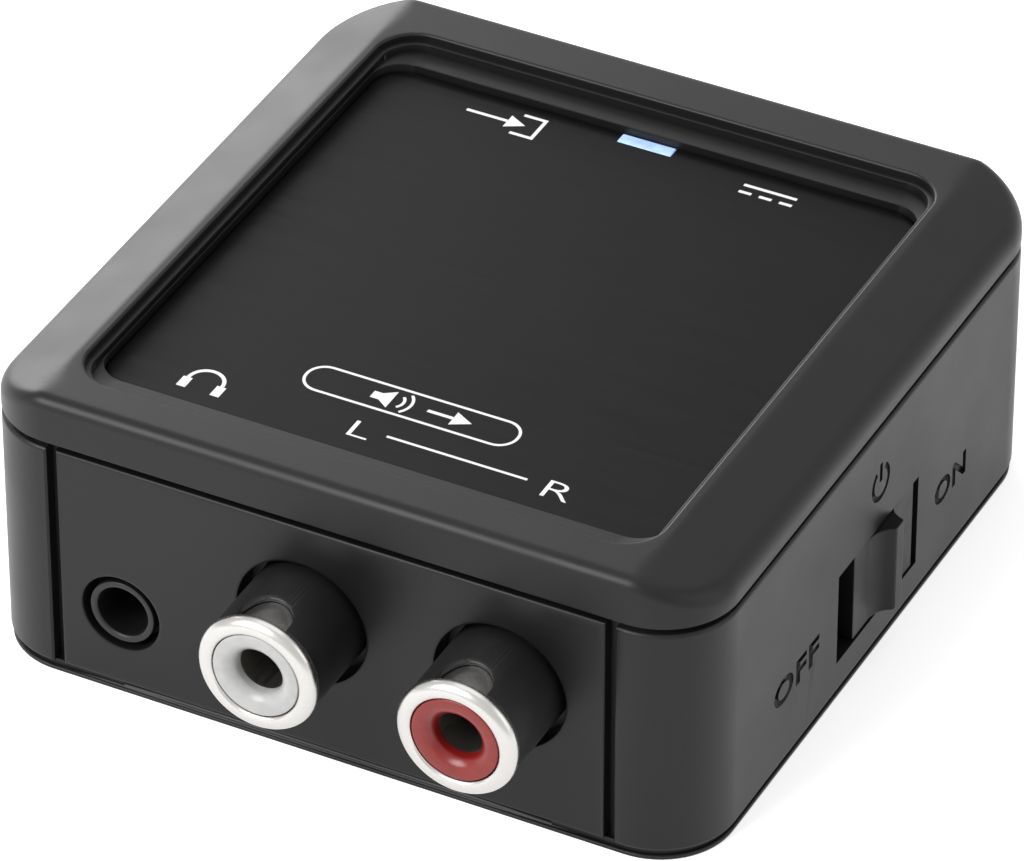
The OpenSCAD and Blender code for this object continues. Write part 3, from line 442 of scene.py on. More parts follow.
# %% Steel, screws and the lamp
tinned = surface("tinned_steel_sheet", "#b3b1ab", 0.32, (0.08, 2.0, (1, 30, 1)), gloss=(0.26, 0.42),
                 bump=(0.002, 0.4), metallic=1.0)
black_zinc = surface("black_zinc_steel", "#4a4a4d", 0.36, (0.3, 2.0), shades=("#414144", "#545458"),
                     metallic=1.0)
light_pipe = surface("lit_polycarbonate", "#a8c6f4", 0.2, (0.8, 1.0), shades=("#9dbdf2", "#bcd6fa"),
                     ior=1.58, extra={"Emission Color": linear("#9cc0fa"), "Emission Strength": 0.35})

# %% [markdown]
# Inside, the board is glass epoxy under green solder mask, and its parts are black moulded epoxy, drawn
# aluminium, pressed ferrite and fired ceramic. None of it shows with the case shut, but each still gets
# the finish that it has on a bench.

# %% Board finishes
solder_mask, tree, shader, place = start_material("solder_mask_green", "#1f6a42", 0.28, ior=1.52)
weave = add(tree, "ShaderNodeTexWave", {"Scale": 1 / (6 * MM), "Distortion": 1.5, "Detail": 1.0},
            {"Vector": (place, "Object")})
tint(tree, shader, weave, "#1a5f3a", "#24744a")

epoxy = surface("moulded_epoxy", "#1c1c1e", 0.5, (0.15, 2.0), shades=("#19191b", "#212123"),
                bump=(0.006, 0.5))
drawn_can = surface("drawn_aluminium_can", "#b9babd", 0.3, (0.12, 2.0, (1, 1, 30)), gloss=(0.24, 0.4),
                    metallic=1.0)
ferrite = surface("pressed_ferrite", "#3a3a3d", 0.7, (0.2, 3.0), shades=("#323235", "#434347"),
                  bump=(0.01, 0.6))
ceramic = surface("fired_ceramic_tan", "#a8875c", 0.55, (0.15, 2.0), shades=("#9d7d53", "#b39268"))
phenolic = surface("punched_phenolic", "#6b4a2c", 0.6, (0.15, 3.0, (1, 8, 1)), shades=("#5f4026", "#785534"))
tacky = surface("acrylic_adhesive", "#c9c4b4", 0.6, (2.0, 2.0), shades=("#c2bcab", "#d0cbbc"))

# %% [markdown]
# ## Upper cover
# The cover is one moulding: a frame whose left and right edges are cut to a slope, with softly rounded
# front and back edges and a stepped recess for the label. Bevelling a boolean shape leaves ragged corners
# where the slope meets the round corner, so the outside is a loft instead. Its rings climb the wall, turn
# over the edge by a radius that changes from the sides to the ends, follow the slope, and step down into
# the recess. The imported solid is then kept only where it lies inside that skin, so the ribs and bosses
# underneath stay as they are.

# %% Cover sizes
CORNER_R = 5.2
COVER_H = 3.4
COVER_Z = TOP - COVER_H
SLOPE_W = 4.7
SLOPE_H = 1.6
SLOPE_X = HALF_W - SLOPE_W
SLOPE = SLOPE_H / SLOPE_W
SLOPE_SOFT = 0.12
EDGE_SIDE = 1.05
EDGE_END = 0.85
RECESS_Y = -0.4
BAND = (SLOPE_X - 0.25, 22.25, 3.0)
LIP = (20.1, 21.95, 2.8)
LIP_ROUND = 0.2
STEP = (19.7, 21.55, 2.4)
POCKET = (19.7, 19.8, 2.2)
STEP_DEPTH = 0.55
SHELF_DEPTH = 1.1
POCKET_DEPTH = 2.3
SKIN = 0.01
print("slope", SLOPE_W, "mm wide and", SLOPE_H, "mm high, steps", STEP_DEPTH, SHELF_DEPTH, POCKET_DEPTH, "mm")


def cover_plane(x):
    """Height of the cover's top without its edges: flat, then sloping down with a soft crease."""
    past = abs(x) - SLOPE_X
    return TOP - SKIN - SLOPE * (past + math.sqrt(past * past + SLOPE_SOFT ** 2)) / 2


def wall_ring(inset, z):
    """The case's outline, moved in by inset, at one height."""
    return [(x - nx * inset, y - ny * inset, z) for x, y, nx, ny in outline(HALF_W, HALF_D, CORNER_R)]


def edge_ring(angle):
    """Ring on the rounded top edge, angle in degrees from the wall to the top."""
    ring = []
    c, s = math.cos(math.radians(angle)), math.sin(math.radians(angle))
    for x, y, nx, ny in outline(HALF_W, HALF_D, CORNER_R):
        size = EDGE_SIDE + (EDGE_END - EDGE_SIDE) * ny * ny
        inset = SKIN + size * (1 - c)
        px, py = x - nx * inset, y - ny * inset
        ring.append((px, py, cover_plane(px) - size * (1 - s)))
    return ring


def recess_ring(size, grow, z):
    """Ring round the recess at one height."""
    half_x, half_y, radius = size
    return [(x, y + RECESS_Y, z)
            for x, y, nx, ny in outline(half_x + grow + SKIN, half_y + grow + SKIN, radius + grow)]


# %% Cover skin
rings = [wall_ring(0.9, 2.0)]
for inset, rise in ((0.9, SKIN), (0.14, SKIN), (0.05, 0.04), (0.02, 0.09), (SKIN, 0.16)):
    rings.append(wall_ring(inset, COVER_Z + rise))
rings += [edge_ring(angle) for angle in range(0, 91, 9)]
shoulder = rings[-1]
band = [(x, y + RECESS_Y, 0) for x, y, nx, ny in outline(*BAND)]
for share in (0.12, 0.28, 0.44, 0.6, 0.72, 0.8, 0.86, 0.91, 0.95, 0.98, 1.0):
    ring = []
    for (ax, ay, _), (bx, by, _) in zip(shoulder, band):
        x, y = ax + (bx - ax) * share, ay + (by - ay) * share
        ring.append((x, y, cover_plane(x)))
    rings.append(ring)
for step in range(10):
    angle = math.radians(10 * step)
    drop = SKIN + LIP_ROUND * (1 - math.cos(angle))
    rings.append(recess_ring(LIP, LIP_ROUND * (1 - math.sin(angle)), TOP - drop))
ledge_z, shelf_z = TOP - STEP_DEPTH, TOP - SHELF_DEPTH
for size, grow, z in ((LIP, 0, ledge_z - SKIN), (STEP, 0.09, ledge_z - SKIN), (STEP, 0.03, ledge_z - 0.03),
                      (STEP, 0, ledge_z - 0.09), (STEP, 0.01, shelf_z - SKIN), (POCKET, 0.12, shelf_z - SKIN),
                      (POCKET, 0.04, shelf_z - 0.04), (POCKET, 0, shelf_z - 0.12),
                      (POCKET, 0, TOP - POCKET_DEPTH - 0.05)):
    rings.append(recess_ring(size, grow, z))
cover = carve(solid_copy("upper_cover"), loft("cover_skin", rings), "INTERSECT")
clean(cover)
finish(cover, "cover_moulding", case_black, "case", ["upper_cover"], smooth=17)

# %% [markdown]
# ## Lower case
# The tray gets the same treatment: a lofted skin rounds its top edge and the foot, where a shallow dark
# groove runs round the box above the rim that it stands on. The openings for the end panels get a small
# chamfer, because a moulded edge that is truly sharp catches no light and looks drawn.

# %% Lower case sizes
SEAM = 0.4
CASE_TOP = COVER_Z - SEAM
BAND_TOP = 0.8
RIM_TOP = 0.35
BAND_IN = 0.35
RIM_IN = 0.12
CHAMFER = 0.13
panel_low, panel_high = box_mm("front_panel")
TONGUE_SIDE = 1.15
GROOVE_W = 0.7
slot_left = panel_low.x + TONGUE_SIDE
slot_right = panel_high.x - TONGUE_SIDE
print("tray", round(CASE_TOP, 2), "mm high, seam", SEAM, "mm, groove at the foot", BAND_IN, "mm deep")


def wedge(name, x, y, z0, z1):
    """Upright diamond bar that chamfers one edge of an opening."""
    ring = [(x + dx * CHAMFER, y + dy * CHAMFER) for dx, dy in ((1, 0), (0, 1), (-1, 0), (0, -1))]
    return loft(name, [[(px, py, z) for px, py in ring] for z in (z0, z1)])


# %% Lower case skin
rings = [wall_ring(RIM_IN + 0.14, 0.004), wall_ring(RIM_IN + 0.05, 0.03), wall_ring(RIM_IN + SKIN, 0.09)]
for inset, drop in ((RIM_IN + SKIN, 0.09), (RIM_IN + 0.05, 0.03), (BAND_IN + SKIN, SKIN)):
    rings.append(wall_ring(inset, RIM_TOP - drop))
for inset, rise in ((BAND_IN + SKIN, SKIN), (0.16, 0.015), (0.07, 0.05), (0.025, 0.12), (SKIN, 0.22)):
    rings.append(wall_ring(inset, BAND_TOP + rise))
for inset, drop in ((SKIN, 0.34), (0.03, 0.21), (0.1, 0.1), (0.22, 0.03), (0.85, 0.005)):
    rings.append(wall_ring(inset, CASE_TOP - drop))
rings.append(wall_ring(0.85, CASE_TOP + 3))
tray = carve(solid_copy("lower_case"), loft("case_skin", rings), "INTERSECT")
for end in (-1, 1):
    for x in (slot_left, slot_right):
        carve(tray, wedge("edge_tool", x, end * HALF_D, BAND_TOP + 0.02, CASE_TOP + 1))
print("tray", len(tray.data.polygons), "faces")

# %% [markdown]
# The marks beside the switch are engraved in the mould, so they are cut into the wall: ON and OFF, and
# the standard power mark, a broken ring with a bar. Text is a curve, so it is made a mesh, fitted to its
# place on the wall, and subtracted.

# %% Marks beside the switch
ENGRAVE = 0.3
PROUD = 0.2
ENGRAVED_WEIGHT = 0.035
LETTER_SPACING = 1.12
MARKS = {"ON": ((8.9, 13.7), (5.4, 7.3)), "OFF": ((-14.9, -8.4), (5.5, 7.5))}


def letters(word, weight):
    """A word as a closed mesh one unit deep, lying in the XY plane, its strokes made heavier by weight."""
    curve = bpy.data.curves.new(word, "FONT")
    curve.body = word
    curve.extrude = 0.5
    curve.offset = weight
    curve.space_character = LETTER_SPACING
    curve.resolution_u = 6
    obj = in_scene(word + "_curve", curve)
    graph = bpy.context.evaluated_depsgraph_get()
    mesh = bpy.data.meshes.new_from_object(obj.evaluated_get(graph))
    bpy.data.objects.remove(obj)
    result = in_scene(word + "_mark", mesh)
    clean(result, 1e-5)
    return result


def fit_to(obj, u_range, v_range, w_range, place):
    """Stretch a flat mesh to fill a box, and put it where place says."""
    xs, ys, zs = ([v.co[i] for v in obj.data.vertices] for i in range(3))
    for v in obj.data.vertices:
        u, vv, w = ((v.co[i] - min(values)) / (max(values) - min(values))
                    for i, values in enumerate((xs, ys, zs)))
        v.co = place(u_range[0] + u * (u_range[1] - u_range[0]), v_range[0] + vv * (v_range[1] - v_range[0]),
                     w_range[0] + w * (w_range[1] - w_range[0]))
    clean(obj)
    return obj


def on_wall(u, v, w):
    """Place on the right wall: u along Y, v up, w out of the wall."""
    return (HALF_W + w, u, v)


def ring_with_gap(u, v, radius, width, gap):
    """Outline of a ring that is open at the top by gap degrees each way."""
    steps = 40
    turns = [math.radians(90 + gap + (360 - 2 * gap) * i / steps) for i in range(steps + 1)]
    outer, inner = ([(u + size * math.cos(a), v + size * math.sin(a)) for a in turns]
                    for size in (radius + width / 2, radius - width / 2))
    return outer + inner[::-1]


for word, (u_range, v_range) in MARKS.items():
    carve(tray, fit_to(letters(word, ENGRAVED_WEIGHT), u_range, v_range, (-ENGRAVE, PROUD), on_wall))
power_u, power_v, power_r, power_w, power_gap = 0.3, 13.45, 1.15, 0.4, 32
bar_low, bar_high = power_v + 0.1, power_v + 1.5
for tool, loop in (("ring_tool", lambda inset: ring_with_gap(power_u, power_v, power_r, power_w, power_gap)),
                   ("bar_tool", rectangle(power_u - power_w / 2, power_u + power_w / 2, bar_low, bar_high))):
    carve(tray, plate(tool, [loop], [(0, -ENGRAVE), (0, PROUD)], on_wall))
clean(tray)
finish(tray, "case_moulding", case_black, "case", ["lower_case"], smooth=28)

# %% [markdown]
# ## End panels
# Each panel is a flat moulding with a thicker middle, whose thin edges slide down slots in the tray. It is
# made as two plates: a face with a rounded rim and holes, and the sheet behind it.

# %% Panels
FACE_T = 0.95
PANEL_ROUND = 0.22
SHEET_T = 0.9
SHEET_LOW = 1.45
phono_left = mount_mm("left_audio_out")
phono_right = mount_mm("right_audio_out")
phones = mount_mm("headphone_out")
inlet = mount_mm("power_in")
input_low, input_high = box_mm("input_shell")
PHONO_HOLE_R = 4.55
PHONES_HOLE_R = 2.75
INLET_HOLE_R = 3.0
INPUT_GAP = 0.25
INPUT_SILL = 3.75


def in_front(u, v, w):
    """Place on the front: u along X, v up, w out of the box."""
    return (u, -HALF_D + FACE_T - w, v)


def behind(u, v, w):
    """Place on the back: u along X, v up, w out of the box."""
    return (u, HALF_D - FACE_T + w, v)


def panel(name, low, high, side, holes):
    """Face and sheet of one panel, joined."""
    groove = TONGUE_SIDE + GROOVE_W
    face = plate(name, [rectangle(low.x + groove, high.x - groove, low.z, CASE_TOP)] + holes,
                 rim(FACE_T, PANEL_ROUND), side)
    sheet = plate(name + "_sheet", [rectangle(low.x, high.x, SHEET_LOW, high.z)] + holes,
                  [(0, -SHEET_T), (0, 0.004)], side)
    return carve(face, sheet, "UNION")


front_holes = [hole(axis.x, axis.z, radius) for axis, radius in
               ((phono_left, PHONO_HOLE_R), (phono_right, PHONO_HOLE_R), (phones, PHONES_HOLE_R))]
front = panel("front", panel_low, panel_high, in_front, front_holes)
finish(front, "front_panel_moulding", case_black, "case", ["front_panel"])
rear_low, rear_high = box_mm("rear_panel")
rear = panel("rear", rear_low, rear_high, behind,
             [hole(inlet.x, inlet.z, INLET_HOLE_R),
              lambda inset: rectangle(input_low.x - INPUT_GAP, input_high.x + INPUT_GAP,
                                      INPUT_SILL, input_high.z + INPUT_GAP)(-inset)])
finish(rear, "rear_panel_moulding", case_black, "case", ["rear_panel"])

# %% [markdown]
# ## Label, print and lamp
# The label is a plate with a barely rounded rim, sunk in the pocket below the shelf. Its prints are
# ink: flat shapes a hundredth of a millimetre thick. The marks are standard signs and single letters: an
# arrow into a socket and the direct-current sign at the back, a headset, L and R in front, and an arrow
# out of a framed speaker between them.

# %% Label plate
label_low, label_high = box_mm("label_plate")
lamp_low, lamp_high = box_mm("lamp_window")
LABEL_R = 2.1
LABEL_T = 0.5
LABEL_ROUND = 0.07
INK = 0.012


def on_label(u, v, w):
    """Place on the label: u along X, v along Y, w up."""
    return (u, v, label_high.z + w)


def label_loop(inset):
    """The label's outline, moved in by inset."""
    half_x, half_y = (label_high.x - label_low.x) / 2, (label_high.y - label_low.y) / 2
    return [(x, y + RECESS_Y) for x, y, nx, ny in outline(half_x - inset, half_y - inset, LABEL_R - inset)]


label = plate("label", [label_loop], [(i, z - LABEL_T) for i, z in rim(LABEL_T, LABEL_ROUND)], on_label)
LAMP_HALF_W = 1.95
LAMP_D = 1.0
LAMP_GAP = 0.05
lamp_x = (lamp_low.x + lamp_high.x) / 2
lamp_y = (lamp_low.y + lamp_high.y) / 2
carve(label, block("lamp_tool",
                   (lamp_x - LAMP_HALF_W - LAMP_GAP, lamp_y - LAMP_D / 2 - LAMP_GAP, label_high.z - 2),
                   (lamp_x + LAMP_HALF_W + LAMP_GAP, lamp_y + LAMP_D, label_high.z + 1)))
finish(label, "label_brushed_plate", label_metal, "case", ["label_plate"])

# %% Label prints
INKED_WEIGHT = -0.012
FINE = 0.2
OUT_X, OUT_Y = -0.52, -13.6
AUDIO_Y = -17.15
prints = []


def ink(loops):
    """Print one flat shape on the label."""
    prints.append(plate("ink", loops, [(0, 0), (0, INK)], on_label))


def stroke(points, width):
    """Line through points, drawn as one outline whose corners are mitred."""
    points = [Vector(point) for point in points]
    steps = [(after - before).normalized() for before, after in zip(points, points[1:])]
    left, right = [], []
    for i, point in enumerate(points):
        before, after = steps[max(i - 1, 0)], steps[min(i, len(steps) - 1)]
        normal = Vector((-before.y, before.x))
        mitre = (normal + Vector((-after.y, after.x))).normalized()
        mitre *= width / 2 / mitre.dot(normal)
        left.append(tuple(point + mitre))
        right.append(tuple(point - mitre))
    shape = left + right[::-1]
    ink([lambda inset: shape])


def pill(inset):
    """The frame round the output sign, moved in by inset."""
    return [(OUT_X + x, OUT_Y + y)
            for x, y, nx, ny in outline(7.55 - inset, 1.4 - inset, 1.35 - inset, turn=8, side=4)]


for word, u_range, v_range in (("L", (-2.8, -1.4), (-18.1, -16.5)), ("R", (10.75, 12.6), (-18.2, -16.5))):
    prints.append(fit_to(letters(word, INKED_WEIGHT), u_range, v_range, (0, INK), on_label))
stroke([(-0.4, AUDIO_Y), (9.4, AUDIO_Y)], FINE)
ink([lambda inset: pill(0), lambda inset: pill(FINE)])
print(len(prints), "print shapes")

# %% Label signs
SIGN = 0.26
BACK_Y = 17.15
ARROW_L, ARROW_H = 1.3, 0.7
HEADSET_X, HEADSET_Y, HEADSET_R = -13.2, -17.28, 1.2


def arrow(tail, neck, y):
    """Arrow along X, whose head starts at the neck."""
    stroke([(tail, y), (neck - 0.02, y)], SIGN)
    ink([lambda inset: [(neck, y - ARROW_H), (neck + ARROW_L, y), (neck, y + ARROW_H)]])


def bow(x, y, radius, start, end, step):
    """Points on an arc round (x, y), its angles in whole degrees."""
    return [(x + radius * math.cos(math.radians(a)), y + radius * math.sin(math.radians(a)))
            for a in range(start, end + 1, step)]


arrow(-12.6, -9.6, BACK_Y)
stroke([(x, BACK_Y + y) for x, y in ((-8.9, 1.1), (-7.3, 1.1), (-7.3, -1.1), (-8.9, -1.1))], SIGN)
stroke([(7.4, BACK_Y + 0.5), (11.2, BACK_Y + 0.5)], SIGN)
for start in (7.4, 8.85, 10.3):
    stroke([(start, BACK_Y - 0.3), (start + 0.9, BACK_Y - 0.3)], SIGN)
stroke(bow(HEADSET_X, HEADSET_Y, HEADSET_R, 0, 180, 12), SIGN)
for centre in (HEADSET_X - HEADSET_R, HEADSET_X + HEADSET_R):
    ink([rectangle(centre - 0.32, centre + 0.32, -18.35, -17.3)])
horn = [(-3.3, -0.35), (-2.7, -0.35), (-1.9, -0.9), (-1.9, 0.9), (-2.7, 0.35), (-3.3, 0.35)]
ink([lambda inset: [(x, OUT_Y + y) for x, y in horn]])
for radius in (0.8, 1.35):
    stroke(bow(-1.9, OUT_Y, radius, -45, 45, 15), FINE)
arrow(0.6, 2.4, OUT_Y)
joined = bmesh.new()
for piece in prints:
    joined.from_mesh(piece.data)
    bpy.data.objects.remove(piece)
print_mesh = bpy.data.meshes.new("label_prints")
joined.to_mesh(print_mesh)
joined.free()
finish(in_scene("label_prints", print_mesh), "label_prints", label_ink, "case")

# %% Lamp window
WINDOW_H = 1.75
PIPE_CUT = 0.9
window = block("window", (lamp_x - LAMP_HALF_W, lamp_y - LAMP_D / 2, lamp_high.z - WINDOW_H),
               (lamp_x + LAMP_HALF_W, lamp_y + LAMP_D / 2, lamp_high.z))
soften(window, 0.09, 3)
pipe = solid_copy("lamp_window")
carve(pipe, block("top_tool", (-9, 0, lamp_high.z - PIPE_CUT), (9, 30, lamp_high.z + 1)))
carve(window, pipe, "UNION")
clean(window)
finish(window, "lamp_light_pipe", light_pipe, "case", ["lamp_window"])

# %% [markdown]
# ## Phono jacks
# Each jack is a set of turned shapes on one axis, so each is a lathe: a plated sleeve whose lip is rolled
# over in front, a dished insulator inside it, and the black barrel round it with an arched notch on top,
# through which the sleeve shows.

# %% Phono sleeves and insulators
LIP_R = 4.15
MOUTH_R = 3.05
SLEEVE_R = 3.5
LIP_L = 0.9
ROLL_L = 0.65
MOUTH_L = 0.25
CREST_R = 3.38
ROLL_STEPS = 24
EDGE_R = 0.1
DISH = ((0.68, 0.0), (0.52, 0.05), (0.34, 0.17), (0.17, 0.35), (0.05, 0.55), (0.0, 0.78))
WEB_T = 1.1
BACK_BORE_R = 2.1
shell_low, shell_high = box_mm("phono_left_shell")
lip_front = shell_low.y
lip_back = lip_front + LIP_L - 0.05
BORE_R = mounts["left_audio_out"]["dims"]["r_mm"]
for side, axis, colour, colour_slot in (("left", phono_left, white_plastic, "white_plastic"),
                                        ("right", phono_right, red_plastic, "red_plastic")):
    profile = []
    for i in range(ROLL_STEPS + 1):
        angle = math.pi * i / ROLL_STEPS
        depth, reach = (MOUTH_L, CREST_R - MOUTH_R) if i < ROLL_STEPS / 2 else (ROLL_L, LIP_R - CREST_R)
        profile.append((lip_front + depth * (1 - math.sin(angle)), CREST_R - reach * math.cos(angle)))
    profile += arc(lip_back - EDGE_R, LIP_R - EDGE_R, EDGE_R, 90, 0, 4)
    profile += [(lip_back, SLEEVE_R), (shell_high.y, SLEEVE_R), (shell_high.y, MOUTH_R)]
    sleeve = lathe("sleeve", profile, axis.x, axis.z)
    tab = block("tab", (axis.x - 0.5, -18.3, shell_low.z), (axis.x + 0.5, -17.8, axis.z - SLEEVE_R + 0.3))
    carve(sleeve, tab, "UNION")
    finish(sleeve, f"phono_{side}_nickel_sleeve", nickel, "case", [f"phono_{side}_shell"])
    ins_low, ins_high = box_mm(f"phono_{side}_insulator")
    outer = (ins_high.x - ins_low.x) / 2
    face = ins_low.y
    profile = [(face + depth, BORE_R + reach) for depth, reach in DISH]
    profile += arc(face + EDGE_R, outer - EDGE_R, EDGE_R, 180, 90, 5)
    profile += [(ins_high.y, outer), (ins_high.y, BACK_BORE_R), (face + WEB_T, BACK_BORE_R),
                (face + WEB_T, BORE_R)]
    insulator = lathe("insulator", profile, axis.x, axis.z, 80)
    finish(insulator, f"phono_{side}_dished_insulator", colour, "case",
           [f"phono_{side}_insulator"])

# %% Phono housing
BARREL_R = 4.05
BARREL_ROUND = 0.12
ROOT_Y = -20.0
housing_low, housing_high = box_mm("phono_housing")
barrel_y = lip_front + LIP_L + 0.02
skin = block("housing_skin", (housing_low.x + SKIN, -HALF_D + 1.9, housing_low.z + SKIN),
             (housing_high.x - SKIN, housing_high.y - SKIN, housing_high.z - SKIN))
soften(skin, 0.2, 3)
for axis in (phono_left, phono_right):
    profile = [(ROOT_Y, 0.0), (barrel_y, 0.0)]
    profile += arc(barrel_y + BARREL_ROUND, BARREL_R - SKIN - BARREL_ROUND, BARREL_ROUND, 180, 90, 5)
    profile += [(ROOT_Y, BARREL_R - SKIN)]
    carve(skin, lathe("barrel", profile, axis.x, axis.z), "UNION")
housing = carve(solid_copy("phono_housing"), skin, "INTERSECT")
clean(housing)
finish(housing, "phono_twin_housing", black_pbt, "case", ["phono_housing"], smooth=35)

# %% [markdown]
# ## Headphone jack
# Its nose is a short ring that sits just inside the panel's hole. Both of its edges are well rounded, and
# the bright line that they catch is most of what the eye sees of it.

# %% Headphone jack
NOSE_R = 2.3
NOSE_ROUND = 0.09
NOSE_MOUTH = 0.2
PHONES_R = mounts["headphone_out"]["dims"]["r_mm"]
nose_y = phones.y + SKIN
body_low, body_high = box_mm("phones_jack_body")
skin = block("jack_skin", (body_low.x + SKIN, -HALF_D + 1.97, body_low.z + SKIN),
             (body_high.x - SKIN, body_high.y - SKIN, body_high.z - SKIN))
soften(skin, 0.15, 2)
profile = [(ROOT_Y, 0.0), (ROOT_Y - 3.0, 0.0), (ROOT_Y - 3.0, PHONES_R - SKIN)]
profile += arc(nose_y + NOSE_MOUTH, PHONES_R + NOSE_MOUTH, NOSE_MOUTH, 270, 180, 5)
profile += arc(nose_y + NOSE_ROUND, NOSE_R - SKIN - NOSE_ROUND, NOSE_ROUND, 180, 90, 4)
profile += [(ROOT_Y, NOSE_R - SKIN)]
carve(skin, lathe("nose", profile, phones.x, phones.z, 72), "UNION")
jack = carve(solid_copy("phones_jack_body"), skin, "INTERSECT")
clean(jack)
finish(jack, "headphone_jack_body", black_satin, "case", ["phones_jack_body"], smooth=35)

# %% [markdown]
# ## Switch cap
# The cap is a plate in the side window with an upright rib for the finger. The rib has a flat tip, and its
# two flanks differ: the back one is short and hollow, while the front one drops steeply and then runs out
# into the plate. Its section is a list of points, drawn out along Z like the real one.

# %% Switch cap
cap_low, cap_high = box_mm("switch_cap")
CAP_X = HALF_W - 0.1
CAP_L = 8.8
CAP_H = 6.66
FLANGE_X = HALF_W - 1.9
SOCKET = 1.05
cap_mid = (cap_low.y + cap_high.y) / 2
cap_z = (cap_low.z + cap_high.z) / 2
RIB_Y = cap_mid + 0.1
RIB_FRONT = [(-2.6, 0.0), (-2.3, 0.03), (-1.95, 0.09), (-1.6, 0.19), (-1.32, 0.31), (-1.1, 0.45),
             (-0.93, 0.62), (-0.78, 0.82), (-0.66, 0.98), (-0.58, 1.05), (-0.5, 1.09), (-0.42, 1.1)]
RIB_BACK = [(0.42, 1.1), (0.5, 1.08), (0.56, 1.02), (0.64, 0.86), (0.74, 0.64), (0.86, 0.43), (1.0, 0.25),
            (1.16, 0.12), (1.34, 0.04), (1.55, 0.0)]

base = block("cap_plate", (FLANGE_X - 0.05, cap_mid - CAP_L / 2, cap_z - CAP_H / 2),
             (CAP_X, cap_mid + CAP_L / 2, cap_z + CAP_H / 2))
soften(base, 0.08, 2)
section = RIB_FRONT + RIB_BACK + [(RIB_BACK[-1][0], -0.2), (RIB_FRONT[0][0], -0.2)]
ribs = []
for inset, z in ((0.1, 0.0), (0.03, 0.03), (0.0, 0.1),
                 (0.0, CAP_H - 0.3), (0.03, CAP_H - 0.23), (0.1, CAP_H - 0.2)):
    ribs.append([(CAP_X + max(v - inset, -0.2) if v > -0.1 else CAP_X + v, RIB_Y + u * (1 - inset * 0.15),
                  cap_z - CAP_H / 2 + 0.1 + z) for u, v in section])
carve(base, loft("rib", ribs), "UNION")
flange = block("flange", (cap_low.x, cap_low.y, cap_low.z), (FLANGE_X, cap_high.y, cap_high.z))
soften(flange, 0.1, 2)
carve(base, flange, "UNION")
carve(base, block("socket_tool", (cap_low.x - 1, cap_mid - SOCKET, cap_z - SOCKET),
                  (FLANGE_X + 0.7, cap_mid + SOCKET, cap_z + SOCKET)))
clean(base)
finish(base, "switch_cap_ribbed", cap_black, "power_slider", ["switch_cap"], smooth=30)

# %% [markdown]
# ## Screws
# Four equal screws close the case from below. One screw is turned on the lathe, its cross is cut out, and
# a Geometry Nodes tree sets a copy on each corner of a grid whose width and depth come from the packed
# solids. Realize Instances then makes them one real mesh.

# %% One case screw
screw_low, screw_high = box_mm("case_screws")
HEAD_R = 1.8
HEAD_H = 1.0
SHANK_R = 0.95
PITCH = 0.35
CROSS_W = 0.45
CROSS_REACH = 1.1
CROSS_DEPTH = 0.5


def screw_profile(length):
    """Domed pan head, a shank ringed like a thread and a tapered tip, as (height, radius)."""
    profile = [(0.0, 0.0), (0.0, HEAD_R * 0.55), (HEAD_H * 0.12, HEAD_R * 0.86)]
    profile += [(HEAD_H * 0.34, HEAD_R * 0.98), (HEAD_H * 0.6, HEAD_R), (HEAD_H, HEAD_R), (HEAD_H, SHANK_R)]
    for i in range(int((length - HEAD_H - 1.0) / PITCH)):
        z = HEAD_H + 0.5 + PITCH * i
        profile += [(z, SHANK_R * 0.82), (z + PITCH / 2, SHANK_R)]
    return profile + [(length - 0.4, SHANK_R * 0.8), (length, SHANK_R * 0.25), (length, 0.0)]


screw_l = screw_high.z - screw_low.z
case_screw = lathe("case_screw", screw_profile(screw_l), 0, 0, 40)
case_screw.data.transform(Matrix.Rotation(math.radians(90), 4, "X"))
for half_x, half_y in ((CROSS_W / 2, CROSS_REACH), (CROSS_REACH, CROSS_W / 2)):
    carve(case_screw, block("cross_tool", (-half_x, -half_y, -1), (half_x, half_y, CROSS_DEPTH)))
clean(case_screw)
print("screw", round(screw_l, 2), "mm long,", len(case_screw.data.polygons), "faces")

# %% Screws on a grid


def grid_tree(name, template, material):
    """Tree that sets a copy of a template on each point of a 2 by 2 grid."""
    tree = bpy.data.node_groups.new(name, "GeometryNodeTree")
    for title in ("Width", "Depth", "Height"):
        tree.interface.new_socket(title, in_out="INPUT", socket_type="NodeSocketFloat")
    tree.interface.new_socket("Geometry", in_out="OUTPUT", socket_type="NodeSocketGeometry")
    entry = add(tree, "NodeGroupInput")
    grid = add(tree, "GeometryNodeMeshGrid", {"Vertices X": 2, "Vertices Y": 2},
               {"Size X": (entry, "Width"), "Size Y": (entry, "Depth")})
    lift = add(tree, "ShaderNodeCombineXYZ", {}, {"Z": (entry, "Height")})
    raised = add(tree, "GeometryNodeSetPosition", {}, {"Geometry": (grid, "Mesh"),
                                                       "Offset": (lift, "Vector")})
    info = add(tree, "GeometryNodeObjectInfo", {"Object": template, "As Instance": True})
    copies = add(tree, "GeometryNodeInstanceOnPoints", {}, {"Points": (raised, "Geometry"),
                                                           "Instance": (info, "Geometry")})
    real = add(tree, "GeometryNodeRealizeInstances", {}, {"Geometry": (copies, "Instances")})
    painted = add(tree, "GeometryNodeSetMaterial", {"Material": material}, {"Geometry": (real, "Geometry")})
    add(tree, "NodeGroupOutput", {}, {"Geometry": (painted, "Geometry")})
    return tree


def grow(name, tree, values):
    """Run a tree on an empty object with named inputs, and bake its result."""
    obj = in_scene(name, bpy.data.meshes.new(name))
    modifier = obj.modifiers.new("nodes", "NODES")
    modifier.node_group = tree
    for item in tree.interface.items_tree:
        if item.in_out == "INPUT" and item.name in values:
            modifier[item.identifier] = values[item.name]
    return bake(obj)


